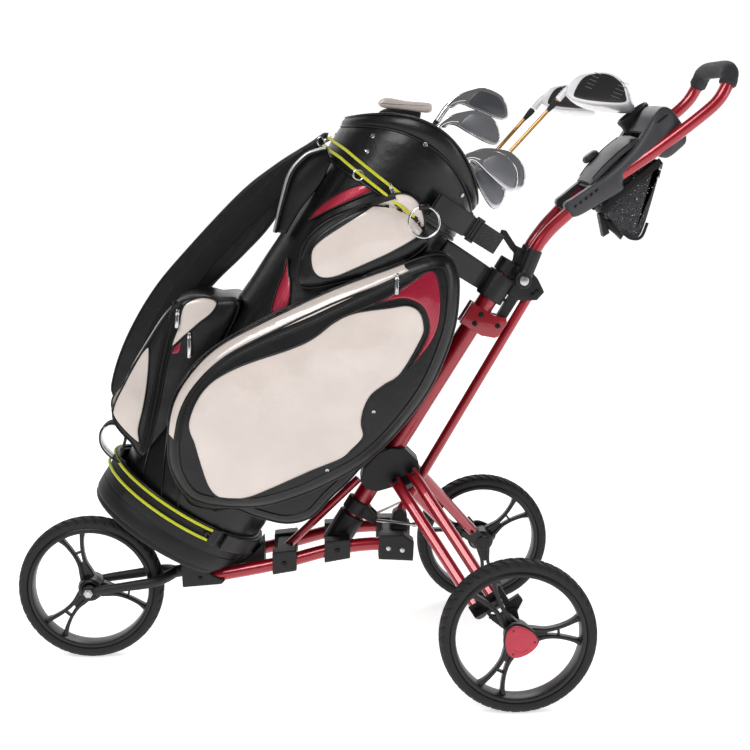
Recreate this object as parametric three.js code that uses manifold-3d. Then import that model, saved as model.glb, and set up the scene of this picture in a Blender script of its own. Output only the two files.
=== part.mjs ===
// Golf bag strapped on a three-wheel push cart, with its clubs.
// Millimetres. +X runs back towards the handle, +Y is the right side, +Z is up.
// The origin is on the ground, below the middle of the whole object's box.
import * as THREE from "three";
import { mergeVertices } from "three/addons/utils/BufferGeometryUtils.js";
import { ConvexGeometry } from "three/addons/geometries/ConvexGeometry.js";
import Module from "manifold-3d";

const wasm = await Module();
wasm.setup();

// ---------------------------------------------------------------- driving dimensions

const GAP = 0.4; // running gap between pieces that touch
const WHEEL_R = 149;
const TYRE_W = 44;
const RIM_R = 129; // seat of the tyre on the rim
const RIM_INNER_R = 118;
const HUB_R = 24;
const HUB_W = 60;
const BORE_R = 7.4;
const AXLE_R = 6.4;
const AXLE_X = 421.7; // the axles lie this far before and behind the cart's middle
const TRACK_Y = 310.5; // middle of a rear wheel
const WHEEL_FLATS = 28;

const RAIL_Y = 65;
const RAIL_R = 13.5;
const COLUMN_R = 20;
const COLUMN_TILT = 58.4; // degrees above the ground
const COLUMN_FOOT = [88, 0, 250];
const COLUMN_TOP = 662; // length along the column
const STAY_R = 10;
const LEG_R = 12;
const LEG_PIN_R = 4;

const BAG_TILT = 57;
const BAG_FOOT = [-262, 0, 262];
const BOOT = { mid: 10, a: 166, b: 152, top: 97, floor: 60 };
const BODY = { bottom: 63, top: 848, a0: 138, b0: 134, a1: 144, b1: 141, wall: 4, lean: 0.5 };
const CUFF = { mid: -6, a: 153, b: 149, wall: 6.5, bottom: 822, rim: 908, crown: 78 };

const HANDLE_PIVOT = [457, 0, 787];
const HANDLE_R = 12.5;
const CONSOLE_TILT = 37;
const CONSOLE_FOOT = [126, 0, 170]; // from the handle's pivot
const LEG_HIP = [208, -50, 375]; // lower leg's upper pin, left side
const LEG_SPAN = [149, -195, -203]; // from the upper pin to the lower pin
const LEG_PAIR = [32, 0, 19]; // from the lower leg to the upper leg

// ---------------------------------------------------------------- colours

const paint = (color, roughness, metalness = 0) =>
  new THREE.MeshStandardMaterial({ color, roughness, metalness });
const RED = paint(0xb01a38, 0.35, 0.5);
const BLACK = paint(0x1b1b1d, 0.55);
const TYRE = paint(0x2a2a2c, 0.9);
const STEEL = paint(0xc9c9c6, 0.3, 1);
const LEATHER = paint(0x1d1d20, 0.45);
const CREAM = paint(0xe3d6cc, 0.2);
const WEBBING = paint(0x151517, 0.85);
const YELLOW = paint(0xe4e81c, 0.6);
const CARBON = paint(0x2b2b30, 0.3, 0.4);

// ---------------------------------------------------------------- geometry helpers

const rad = THREE.MathUtils.degToRad;
const vec = (p) => new THREE.Vector3(...p);

function solid(geometry) {
  const g = geometry.clone();
  g.deleteAttribute("normal");
  g.deleteAttribute("uv");
  const m = mergeVertices(g, 1e-3);
  return new wasm.Manifold(
    new wasm.Mesh({
      numProp: 3,
      vertProperties: new Float32Array(m.attributes.position.array),
      triVerts: new Uint32Array(m.index.array),
    }),
  );
}

function geometryOf(manifold) {
  const mesh = manifold.getMesh();
  const g = new THREE.BufferGeometry();
  g.setAttribute("position", new THREE.BufferAttribute(mesh.vertProperties, 3));
  g.setIndex(new THREE.BufferAttribute(mesh.triVerts, 1));
  return g;
}

const join = (...parts) => geometryOf(parts.map(solid).reduce((a, b) => a.add(b)));
const cut = (body, ...tools) =>
  geometryOf(tools.map(solid).reduce((a, b) => a.subtract(b), solid(body)));
const common = (a, b) => geometryOf(solid(a).intersect(solid(b)));

// A round bar from one point to another.
function rod(from, to, r, sides = 16, r2 = r) {
  const a = vec(from);
  const along = vec(to).sub(a);
  const g = new THREE.CylinderGeometry(r2, r, along.length(), sides);
  g.rotateY(Math.PI / sides);
  const turn = new THREE.Quaternion().setFromUnitVectors(vec([0, 1, 0]), along.clone().normalize());
  return g.applyQuaternion(turn).translate(...a.addScaledVector(along, 0.5));
}

// A bar of radius r along +Y, between two distances, at (x, z).
const crossBar = (x, z, y0, y1, r, sides = 16) => rod([x, y0, z], [x, y1, z], r, sides);

function box(mid, size, tilt = 0) {
  return new THREE.BoxGeometry(...size).rotateY(rad(tilt)).translate(...mid);
}

// A flat outline of (x, z) points, made solid from y0 to y1.
function plate(points, y0, y1, bevel = 0) {
  const shape = new THREE.Shape(points.map(([x, z]) => new THREE.Vector2(x, z)));
  const g = new THREE.ExtrudeGeometry(shape, {
    depth: y1 - y0 - 2 * bevel,
    bevelEnabled: bevel > 0,
    bevelThickness: bevel,
    bevelSize: bevel,
    bevelOffset: -bevel,
    bevelSegments: 1,
  });
  return g.rotateX(Math.PI / 2).translate(0, y1 - bevel, 0);
}

// The same outline with its points joined by a smooth closed curve.
function softOutline(points, divisions) {
  const curve = new THREE.CatmullRomCurve3(points.map(([x, z]) => vec([x, 0, z])), true);
  return curve.getSpacedPoints(divisions).slice(0, -1).map((p) => [p.x, p.z]);
}

const smooth = (points, closed = false) =>
  new THREE.CatmullRomCurve3(points.map(vec), closed, "centripetal");

function tube(curve, r, steps, sides = 8) {
  const section = new THREE.Shape();
  section.absarc(0, 0, r, 0, 2 * Math.PI);
  return new THREE.ExtrudeGeometry(section, {
    steps,
    curveSegments: sides / 2,
    extrudePath: curve,
  });
}

// A strip of the given thickness along a curve of (x, y) points, from z0 to z1.
function ribbon(points, thickness, z0, z1, divisions) {
  const curve = smooth(points.map(([x, y]) => [x, y, 0]));
  const edge = (side) =>
    curve.getSpacedPoints(divisions).map((p, i) => {
      const t = curve.getTangentAt(i / divisions);
      const half = (side * thickness) / 2;
      return new THREE.Vector2(p.x - t.y * half, p.y + t.x * half);
    });
  const shape = new THREE.Shape([...edge(1), ...edge(-1).reverse()]);
  const g = new THREE.ExtrudeGeometry(shape, { depth: z1 - z0, bevelEnabled: false });
  return g.translate(0, 0, z0);
}

// Turned about +Z from (radius, height) points.
function turned(profile, segments) {
  const points = profile.map(([r, h]) => new THREE.Vector2(r, h));
  return new THREE.LatheGeometry(points, segments).rotateX(Math.PI / 2);
}

// Turned about +Y, for wheels.
const wheelTurned = (profile, segments) => turned(profile, segments).rotateX(Math.PI / 2);

function mesh(name, geometry, material, parent) {
  const made = new THREE.Mesh(geometry, material);
  made.name = name;
  parent.add(made);
  return made;
}

function group(parent, position, tilt = 0) {
  const made = new THREE.Group();
  made.position.set(...position);
  made.rotation.y = rad(tilt);
  parent.add(made);
  return made;
}

// ---------------------------------------------------------------- frames of the sloping parts

const cart = new THREE.Group();
const column = group(cart, COLUMN_FOOT, 90 - COLUMN_TILT); // +Z up the column, +X away from the bag
const bag = group(cart, BAG_FOOT, 90 - BAG_TILT); // +Z up the bag, +X towards the column
const handle = group(cart, HANDLE_PIVOT);
const consoleFrame = group(handle, CONSOLE_FOOT, -CONSOLE_TILT); // +X up the handle
cart.updateMatrixWorld(true);

const inCart = (frame, g) => g.applyMatrix4(frame.matrixWorld);
const columnBar = (from, r) => rod([0, 0, from], [0, 0, COLUMN_TOP + GAP], r, 16);
const columnBore = () => inCart(column, columnBar(4, COLUMN_R + GAP));
const RAIL_PATH = [
  [-206, 184],
  [-49, 212],
  [60, 240],
  [112, 250],
  [172, 254],
  [230, 247],
];
const railPath = (y) => smooth(RAIL_PATH.map(([x, z]) => [x, y, z]));
const RAIL_STEPS = 6;
const rail = (y, r = RAIL_R) => tube(railPath(y), r, RAIL_STEPS);
const railBores = () => [-RAIL_Y, RAIL_Y].map((y) => rail(y, RAIL_R + GAP));

const STAY_FOOT = [213, 0, 297];
const STAY_HEAD = [474, 0, 749];
const stay = (r) => rod(STAY_FOOT, STAY_HEAD, r, 12);
const STRUT_FOOT = [-16, 0, 232];
const STRUT_HEAD = [131, 0, 374];
const strut = (r) => rod(STRUT_FOOT, STRUT_HEAD, r, 12);

// ---------------------------------------------------------------- wheels

// One split spoke along +X: two members that spread towards the rim, with a bridge between them.
function spoke(angle) {
  const foot = HUB_R - 4;
  const tip = RIM_INNER_R + 3;
  const shape = new THREE.Shape(
    [
      [foot, -12],
      [tip, -29],
      [tip, 29],
      [foot, 12],
    ].map((p) => new THREE.Vector2(...p)),
  );
  const windows = [
    [36, 8, 66, 11],
    [76, 13, 106, 18],
  ];
  for (const [x0, h0, x1, h1] of windows) {
    shape.holes.push(
      new THREE.Path(
        [
          [x0, -h0],
          [x1, -h1],
          [x1, h1],
          [x0, h0],
        ].map((p) => new THREE.Vector2(...p)),
      ),
    );
  }
  const thick = 16;
  const g = new THREE.ExtrudeGeometry(shape, { depth: thick, bevelEnabled: false });
  return g.translate(0, 0, -thick / 2).rotateX(Math.PI / 2).rotateY(-rad(angle));
}

function rim(firstSpoke) {
  const half = TYRE_W / 2 - 3;
  const hoop = wheelTurned(
    [
      [RIM_INNER_R, -half],
      [RIM_R - GAP, -half],
      [RIM_R - GAP, half],
      [RIM_INNER_R, half],
      [RIM_INNER_R, -half],
    ],
    WHEEL_FLATS,
  );
  const hub = crossBar(0, 0, -HUB_W / 2, HUB_W / 2, HUB_R);
  const spokes = [0, 120, 240].map((turn) => spoke(firstSpoke + turn));
  return cut(join(hoop, hub, ...spokes), crossBar(0, 0, -HUB_W, HUB_W, BORE_R, 12));
}

// The tyre's flats, not its corners, are at the wheel's radius, and one flat is down.
function tyre() {
  const corner = 1 / Math.cos(Math.PI / WHEEL_FLATS);
  const r = WHEEL_R * corner;
  const seat = RIM_R * corner;
  const half = TYRE_W / 2;
  const g = wheelTurned(
    [
      [seat, -half + 5],
      [RIM_R + 9, -half],
      [r, -half + 11],
      [r, half - 11],
      [RIM_R + 9, half],
      [seat, half - 5],
      [seat, -half + 5],
    ],
    WHEEL_FLATS,
  );
  return g.rotateY(Math.PI / WHEEL_FLATS);
}

// A triangle with bulging sides, on the hub's outer face.
function hubCap(side) {
  const corner = 33;
  const shape = new THREE.Shape();
  for (let i = 0; i < 3; i += 1) {
    const from = rad(120 * i);
    const to = rad(120 * (i + 1));
    const bulge = corner * 0.82;
    const mid = (from + to) / 2;
    if (i === 0) shape.moveTo(corner * Math.cos(from), corner * Math.sin(from));
    shape.quadraticCurveTo(
      1.35 * bulge * Math.cos(mid),
      1.35 * bulge * Math.sin(mid),
      corner * Math.cos(to),
      corner * Math.sin(to),
    );
  }
  const thick = 8;
  const g = new THREE.ExtrudeGeometry(shape, {
    depth: thick - 2,
    bevelThickness: 1,
    bevelSize: 1,
    bevelOffset: -1,
    bevelSegments: 1,
    curveSegments: 4,
  });
  const out = HUB_W / 2 + GAP + 1;
  return g.translate(0, 0, -thick / 2 + 1).rotateX(Math.PI / 2).translate(0, side * (out + 3), 0);
}

function addWheel(name, x, y, firstSpoke) {
  const wheel = group(cart, [x, y, WHEEL_R]);
  mesh(`${name}_tyre`, tyre(), TYRE, wheel);
  mesh(`${name}_rim`, rim(firstSpoke), BLACK, wheel);
  if (y !== 0) mesh(`${name}_hub_cap`, hubCap(Math.sign(y)), RED, wheel);
}

addWheel("front", -AXLE_X, 0, 109);
addWheel("left_rear", AXLE_X, -TRACK_Y, 5);
addWheel("right_rear", AXLE_X, TRACK_Y, 39);

// ---------------------------------------------------------------- front fork and base frame

const FORK_Y = 40;
const FORK_R = 8.5;
const FORK_EYE = 9;

function frontFork() {
  const side = (y) => [
    [-AXLE_X, y, WHEEL_R],
    [-330, y, 163],
    [-282, y * 0.95, 171],
  ];
  const legs = smooth([...side(-FORK_Y), [-246, 0, 179], ...side(FORK_Y).reverse()]);
  const eyes = [-1, 1].map((s) =>
    crossBar(-AXLE_X, WHEEL_R, s * FORK_Y - FORK_EYE, s * FORK_Y + FORK_EYE, 14, 12),
  );
  const stem = rod([-252, 0, 178], [-212, 0, 185], 13, 12);
  const bore = crossBar(-AXLE_X, WHEEL_R, -60, 60, AXLE_R + GAP, 12);
  return cut(join(tube(legs, FORK_R, 16, 6), ...eyes, stem), bore);
}

const frontAxle = () => {
  const reach = FORK_Y + FORK_EYE + GAP;
  const heads = [-1, 1].map((s) =>
    crossBar(-AXLE_X, WHEEL_R, s * reach, s * (reach + 6), 10, 6),
  );
  return join(crossBar(-AXLE_X, WHEEL_R, -reach - 3, reach + 3, AXLE_R, 12), ...heads);
};

// A curved arm behind the bag's boot, between two angles from the bag's front.
function bootArm() {
  const { mid, a, b } = BOOT;
  const at = (deg) => [-(mid + (a + 7) * Math.cos(rad(deg))), (b + 7) * Math.sin(rad(deg))];
  const points = [126, 140, 155, 168, 180, 192, 205, 220, 234].map(at);
  return inCart(bag, ribbon(points, 8, 66, 100, 16));
}

function frontBracket() {
  const block = plate(
    [
      [-226, 172],
      [-148, 178],
      [-140, 186],
      [-154, 191],
      [-214, 229],
      [-228, 216],
    ],
    -84,
    84,
  );
  const web = plate(
    [
      [-170, 176],
      [-62, 192],
      [-64, 250],
      [-84, 228],
      [-124, 200],
      [-158, 190],
    ],
    -34,
    34,
  );
  const stemBore = rod([-262, 0, 176], [-211.5, 0, 185.1], 13 + GAP, 12);
  return cut(join(block, web, bootArm()), stemBore, ...railBores());
}

// Blocks round both rails, with a bar between them.
function railClamp(outline, barOutline) {
  const blocks = [-RAIL_Y, RAIL_Y].map((y) => plate(outline, y - 18, y + 18));
  return join(...blocks, plate(barOutline, -RAIL_Y, RAIL_Y));
}

function midClamp() {
  const clamp = railClamp(
    [
      [-45, 196],
      [4, 204],
      [4, 247],
      [-45, 242],
    ],
    [
      [-36, 204],
      [-4, 210],
      [-4, 240],
      [-36, 238],
    ],
  );
  return cut(clamp, ...railBores(), strut(8.5 + GAP));
}

function columnKnuckle() {
  const clamp = railClamp(
    [
      [60, 220],
      [112, 229],
      [112, 268],
      [60, 264],
    ],
    [
      [66, 226],
      [108, 232],
      [112, 262],
      [70, 258],
    ],
  );
  const sleeve = inCart(column, rod([0, 0, -10], [0, 0, 58], 28));
  return cut(join(clamp, sleeve), ...railBores(), columnBore());
}

function railEndBracket() {
  const clamp = railClamp(
    [
      [169, 226],
      [239, 222],
      [241, 262],
      [222, 276],
      [170, 276],
    ],
    [
      [178, 236],
      [234, 236],
      [232, 268],
      [180, 272],
    ],
  );
  const lug = plate(
    [
      [192, 262],
      [234, 262],
      [230, 302],
      [216, 314],
      [202, 304],
    ],
    -15,
    15,
  );
  return cut(join(clamp, lug), ...railBores(), stay(STAY_R + GAP));
}

function stretcherCollar() {
  const sleeve = inCart(column, rod([0, 0, 63], [0, 0, 92], 27));
  const lugs = [-1, 1].map((s) =>
    plate(
      [
        [16, 64],
        [44, 66],
        [50, 75],
        [44, 84],
        [16, 90],
      ],
      s * 18 - 4,
      s * 18 + 4,
    ),
  );
  return cut(join(sleeve, ...lugs.map((g) => inCart(column, g))), columnBore());
}

// ---------------------------------------------------------------- rear legs

// One side's frame: +X across the pair of legs, +Z back up the leg, and the pins along Y.
function legFrame(side) {
  const along = vec(LEG_SPAN).normalize();
  const across = vec(LEG_PAIR);
  const slip = across.dot(along);
  across.addScaledVector(along, -slip).normalize();
  const z = along.clone().negate();
  const x = across;
  if (side > 0) {
    z.y *= -1;
    x.y *= -1;
  }
  const y = z.clone().cross(x);
  const frame = new THREE.Group();
  frame.matrixAutoUpdate = false;
  frame.matrix.makeBasis(x, y, z).setPosition(LEG_HIP[0], side * Math.abs(LEG_HIP[1]), LEG_HIP[2]);
  frame.matrix.decompose(frame.position, frame.quaternion, frame.scale);
  frame.matrixAutoUpdate = true;
  return frame;
}

const LEG_LENGTH = vec(LEG_SPAN).length();
const PAIR_SLIP = vec(LEG_PAIR).dot(vec(LEG_SPAN).normalize());
const PAIR_WIDTH = Math.sqrt(vec(LEG_PAIR).lengthSq() - PAIR_SLIP ** 2);
// Upper leg's hip in the leg frame, and which way along Y is inward.
const UPPER_HIP = [PAIR_WIDTH, 0, -PAIR_SLIP];
const inward = (side) => -side;

const legs = {};
for (const side of [-1, 1]) {
  legs[side] = legFrame(side);
  cart.add(legs[side]);
}
cart.updateMatrixWorld(true);

const legPin = (hip, y0, y1, down = 0) =>
  rod([hip[0], y0, hip[2] - down], [hip[0], y1, hip[2] - down], LEG_PIN_R, 10);

function legTube(hip) {
  const bar = rod([hip[0], 0, hip[2] + 8], [hip[0], 0, hip[2] - LEG_LENGTH - 8], LEG_R, 12);
  const holes = [0, LEG_LENGTH].map((down) =>
    rod([hip[0], -30, hip[2] - down], [hip[0], 30, hip[2] - down], LEG_PIN_R + GAP, 10),
  );
  return cut(bar, ...holes);
}

// Lug and pins that hold both legs of one side at their hips.
function hipLug(side) {
  const dir = inward(side);
  const near = LEG_R + 1;
  const span = [
    [-13, -6],
    [PAIR_WIDTH + 13, -PAIR_SLIP - 10],
    [PAIR_WIDTH + 10, 14],
    [0, 16],
    [-13, 10],
  ];
  const [y0, y1] = dir > 0 ? [near, near + 22] : [-near - 22, -near];
  const pins = [[0, 0, 0], UPPER_HIP].map((hip) =>
    legPin(hip, -dir * (LEG_R + 4), dir * (near + 4)),
  );
  return [plate(span, y0, y1), ...pins].map((g) => inCart(legs[side], g));
}

function legHub() {
  const block = plate(
    [
      [134, 376],
      [140, 402],
      [172, 436],
      [196, 445],
      [225, 443],
      [252, 416],
      [256, 394],
      [238, 380],
      [211, 366],
      [171, 354],
      [146, 358],
    ],
    -32,
    32,
  );
  return cut(join(block, ...hipLug(-1), ...hipLug(1)), columnBore(), strut(8.5 + GAP));
}

const PEDAL_PIVOT = [416, 184];
const PEDAL_PIN_R = 3.5;
const PEDAL_Y = [258, 273]; // from the cart's middle plane

// Ear and pin that carry the brake's pedal, standing on the boss.
function pedalEar(side) {
  const [x, z] = PEDAL_PIVOT;
  const [inner, outer] = PEDAL_Y;
  const outline = [
    [x - 8, WHEEL_R],
    [x + 18, WHEEL_R],
    [x + 8, z + 6],
    [x - 6, z + 6],
  ];
  const near = outer + GAP;
  const ear = side > 0 ? plate(outline, near, near + 4) : plate(outline, -near - 4, -near);
  return [ear, crossBar(x, z, side * inner, side * (near + 3), PEDAL_PIN_R, 10)];
}

// Room for the pedal's swing beside the legs' lug.
function pedalRoom(side) {
  const [x, z] = PEDAL_PIVOT;
  const [inner, outer] = PEDAL_Y;
  return box([x - 4, (side * (inner + outer)) / 2, z + 18], [72, outer - inner + 2 * GAP, 58]);
}

// Plate outside the legs' feet with their pins, a boss, and the wheel's stub axle.
function wheelBracket(side) {
  const dir = -inward(side);
  const near = LEG_R + 1;
  const [y0, y1] = dir > 0 ? [near, near + 8] : [-near - 8, -near];
  const foot = -LEG_LENGTH;
  const lug = plate(
    [
      [-13, foot - 12],
      [PAIR_WIDTH + 13, foot - PAIR_SLIP - 14],
      [PAIR_WIDTH + 13, foot + 12],
      [-13, foot + 14],
    ],
    y0,
    y1,
  );
  const pins = [[0, 0, 0], UPPER_HIP].map((hip) =>
    legPin(hip, -dir * (LEG_R + 4), dir * (near + 4), LEG_LENGTH),
  );
  const inner = [lug, ...pins].map((g) => inCart(legs[side], g));
  const hubFace = TRACK_Y - HUB_W / 2 - 3;
  const boss = crossBar(AXLE_X, WHEEL_R, side * (hubFace - 14), side * hubFace, 17, 12);
  const lugMid = vec([PAIR_WIDTH / 2, (y0 + y1) / 2, foot]).applyMatrix4(legs[side].matrixWorld);
  const arm = new ConvexGeometry(
    [
      [-16, -12],
      [16, -12],
      [16, 12],
      [-16, 12],
    ]
      .flatMap(([u, w]) => [
        vec([lugMid.x + u, lugMid.y - side * 2, lugMid.z + w]),
        vec([AXLE_X + u * 0.7, side * (hubFace - 4), WHEEL_R + w]),
      ])
      .concat([vec([lugMid.x, lugMid.y + side * 8, lugMid.z])]),
  );
  const stub = crossBar(AXLE_X, WHEEL_R, side * (hubFace - 2), side * (TRACK_Y + 25), AXLE_R, 12);
  // The arm keeps clear of both tubes and of their swing about the foot pins.
  const away = LEG_R + 1;
  const room = [[0, 0, 0], UPPER_HIP].flatMap(([hx, , hz]) => [
    rod([hx, 0, hz + 20], [hx, 0, hz - LEG_LENGTH - 20], away, 12),
    rod([hx, -away, hz - LEG_LENGTH], [hx, away, hz - LEG_LENGTH], away + 5, 12),
  ]);
  const holder = join(...inner, cut(arm, ...room.map((g) => inCart(legs[side], g))), boss, stub);
  return side < 0 ? join(cut(holder, pedalRoom(side)), ...pedalEar(side)) : holder;
}

// Foot lever of the brake: a ribbed tread and an upright horn on one pin.
function brakePedal(side) {
  const [x, z] = PEDAL_PIVOT;
  const outline = [
    [x - 9, z - 7],
    [x + 7, z - 7],
    [x + 20, z + 20],
    [x + 12, z + 30],
    [x - 6, z + 18],
    [x - 24, z + 50],
    [x - 32, z + 48],
    [x - 14, z + 6],
  ];
  const [inner, outer] = PEDAL_Y;
  const lever = side > 0 ? plate(outline, inner, outer) : plate(outline, -outer, -inner);
  return cut(lever, crossBar(x, z, side * 200, side * 300, PEDAL_PIN_R + GAP, 10));
}

const STRETCHER_ROOT = [168, 23, 292];
const STRETCHER_REACH = 0.34; // of the leg's length, from the hip
const STRETCHER_R = 3.2;

function stretcher(side) {
  const hip = vec([LEG_HIP[0], side * Math.abs(LEG_HIP[1]), LEG_HIP[2]]);
  const span = vec([LEG_SPAN[0], side * Math.abs(LEG_SPAN[1]), LEG_SPAN[2]]);
  const end = hip.addScaledVector(span, STRETCHER_REACH);
  const root = vec([STRETCHER_ROOT[0], side * (STRETCHER_ROOT[1] + 4), STRETCHER_ROOT[2]]);
  const reach = end.sub(root);
  const shorter = reach.clone().setLength(reach.length() - LEG_R - 9).add(root);
  return rod(root.toArray(), shorter.toArray(), STRETCHER_R, 8);
}

// ---------------------------------------------------------------- column, cradle and handle clamp

// The tube, with the fold joint's plates welded to both its sides.
function columnTube() {
  const tubeBar = rod([0, 0, 6], [0, 0, COLUMN_TOP], COLUMN_R);
  const outline = [
    [-27, 512],
    [24, 512],
    [54, 524],
    [56, 562],
    [48, 568],
    [24, 560],
    [-27, 560],
  ];
  const sides = [-1, 1].map((s) => plate(outline, s * 21 - 6, s * 21 + 6));
  return join(tubeBar, ...sides);
}

const linkBarOutline = [
  [33, 538],
  [52, 541],
  [52, 612],
  [32, 612],
];

function upperCradle() {
  const sleeve = inCart(column, rod([0, 0, 582], [0, 0, 640], 29));
  const wing = ribbon(
    [
      [143, -74],
      [170, -62],
      [208, -42],
      [242, -24],
      [256, 0],
      [242, 24],
      [208, 42],
      [170, 62],
      [143, 74],
    ],
    9,
    768,
    816,
    16,
  );
  return cut(join(sleeve, inCart(bag, wing)), columnBore());
}

const LEVER_PIVOT = [455, 838];
const LEVER_PIN_R = 4;
const HANDLE_PIN_R = 5;

// Clamp on the column's head: it carries the handle's bolt, the link bar and the stay's head.
function handleClamp() {
  const sleeve = rod([0, 0, 641], [0, 0, 670], 24.5);
  const lug = plate(
    [
      [10, 614],
      [30, 612],
      [56, 612],
      [84, 630],
      [88, 652],
      [62, 668],
      [34, 676],
      [10, 670],
    ],
    -15,
    15,
  );
  const link = plate(linkBarOutline, -12, 12);
  const clamp = inCart(column, join(cut(lug, rod([0, 0, 500], [0, 0, 641], 31)), sleeve, link));
  const [x, , z] = HANDLE_PIVOT;
  const bolt = crossBar(x, z, -55, 55, HANDLE_PIN_R, 12);
  const heads = [-1, 1].map((s) => crossBar(x, z, s * 53, s * 58, 9, 6));
  const leverPin = crossBar(...LEVER_PIVOT, -13, 13, LEVER_PIN_R, 10);
  const leverPost = plate(
    [
      [440, 800],
      [462, 810],
      [466, 842],
      [450, 850],
      [444, 838],
    ],
    -12,
    -7,
  );
  const otherPost = leverPost.clone().translate(0, 19, 0);
  return cut(join(clamp, bolt, ...heads, leverPost, otherPost, leverPin), columnBore(), stay(STAY_R + GAP));
}

function clampLever() {
  const [x, z] = LEVER_PIVOT;
  const outline = [
    [x + 8, z - 6],
    [x + 8, z + 7],
    [x - 8, z + 14],
    [x - 28, z + 44],
    [x - 37, z + 46],
    [x - 40, z + 38],
    [x - 20, z + 8],
    [x - 6, z - 8],
  ];
  return cut(plate(outline, -6, 6), crossBar(x, z, -20, 20, LEVER_PIN_R + GAP, 10));
}

// ---------------------------------------------------------------- handle

const HANDLE_SIDE = [
  [9, 37, 20],
  [23, 37, 58],
  [43, 39, 88],
  [69, 48, 117],
  [126, 70, 170],
  [183, 90, 213],
  [243, 103, 257],
  [318, 112, 316],
  [355, 113, 350],
  [374, 108, 384],
];
const handlePath = smooth([
  ...HANDLE_SIDE.map(([x, y, z]) => [x, -y, z]),
  [380, -84, 406],
  [381, 0, 409],
  [380, 84, 406],
  ...HANDLE_SIDE.map(([x, y, z]) => [x, y, z]).reverse(),
]);
const HANDLE_STEPS = 34;
const handleBar = (r) => tube(handlePath, r, HANDLE_STEPS);

function grip() {
  const sleeve = cut(handleBar(17), handleBar(HANDLE_R + 1.4));
  return common(sleeve, box([360, 0, 410], [200, 300, 78]));
}

// Two barrels round the handle's feet, joined by a bridge above the column's head.
function handleYoke() {
  const barrels = [-1, 1].flatMap((s) => [
    crossBar(0, 0, s * 25, s * 52, 17, 12),
    rod([-4, s * 37, -12], [24, s * 37, 60], 15.5, 10),
  ]);
  const bridge = box([26, 0, 52], [20, 50, 16], -21);
  return cut(join(...barrels, bridge), crossBar(0, 0, -60, 60, HANDLE_PIN_R + GAP, 12), handleBar(HANDLE_R + 1));
}

// The tray rides on top of both handle tubes.
function consoleTray() {
  const outline = [
    [-58, -6],
    [-46, -20],
    [52, -26],
    [64, -8],
    [140, -6],
    [152, -28],
    [200, -26],
    [214, 0],
    [216, 38],
    [208, 54],
    [190, 56],
    [166, 44],
    [148, 30],
    [147, 16],
    [8, 16],
    [-50, 16],
  ];
  const shell = plate(outline, -112, 112);
  const tray = box([-22, 0, 12], [44, 160, 32]);
  const store = box([100, 0, 9], [170, 150, 22]);
  const cup = rod([176, 62, 8], [176, 62, 60], 34);
  const cupBore = rod([176, 62, 0], [176, 62, 70], 30);
  const placed = join(cut(shell, tray, store), common(cup, box([180, 62, 40], [80, 80, 90])));
  const tubes = handleBar(HANDLE_R + 1.2)
    .applyMatrix4(handle.matrixWorld)
    .applyMatrix4(consoleFrame.matrixWorld.clone().invert());
  return cut(placed, cupBore, tubes);
}

function consoleLid() {
  const outline = [
    [10, 16.5],
    [139, 17],
    [139, 33],
    [100, 36],
    [50, 31],
    [14, 22],
  ];
  return plate(outline, -84, 84, 1);
}

function meshPouch() {
  const outline = [
    [155, 134],
    [171, 166],
    [266, 240],
    [256, 176],
    [238, 112],
    [226, 82],
    [194, 92],
  ];
  return plate(outline, -66, 66, 3);
}

// ---------------------------------------------------------------- bag

// A club stands on its grip's end, and its axis runs from foot to neck, in the bag's frame.
const GRIP_R = 9;
const SHAFT_R = 4.5;
const IRONS = [
  [
    [-20, 20, 72],
    [8, 2, 1046],
  ],
  [
    [-50, -30, 72],
    [14, -34, 1005],
  ],
  [
    [90, -54, 72],
    [84, -62, 962],
  ],
  [
    [85, -77, 72],
    [92, -82, 986],
  ],
  [
    [35, -95, 72],
    [80, -100, 972],
  ],
];
const BLADE_TURNS = [14, 8, -25, -8, -6]; // degrees from the bag's front-to-back line
const DRIVER = [
  [-5, -40, 72],
  [184, -28, 1191],
];
const FAIRWAY = [
  [-6, -6, 72],
  [166, 76, 1160],
];
const CLUBS = [...IRONS, DRIVER, FAIRWAY];

// A tapering oval tube about the bag's axis, from (share of the half-widths, height) points.
function oval(profile, mid, segments = 28) {
  const g = turned(profile, segments);
  return (a, b) => g.clone().scale(a, b, 1).translate(-mid, 0, 0);
}

function bagBase() {
  const { mid, a, b, top, floor } = BOOT;
  const wall = 0.95;
  const cup = oval(
    [
      [0, 0],
      [0.96, 0],
      [1, 8],
      [1, top - 12],
      [0.985, top],
      [wall, top],
      [wall, floor],
      [0, floor],
    ],
    mid,
  )(a, b);
  // The rear edge of the sole is cut off slanting, clear of the rails.
  const corner = box([0, 0, 0], [120, 400, 60]).rotateY(rad(-43)).translate(141, 0, -4);
  return cut(cup, corner);
}

function bagBody() {
  const { bottom, top, a0, b0, a1, b1, wall } = BODY;
  const grow = a1 / a0;
  const tubeShape = oval(
    [
      [0, bottom],
      [1, bottom],
      [grow, top],
      [grow - wall / a0, top],
      [1 - wall / a0, bottom + 7],
      [0, bottom + 7],
    ],
    0,
  );
  return tubeShape(a0, (b0 + b1 / grow) / 2).rotateY(rad(BODY.lean));
}

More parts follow.
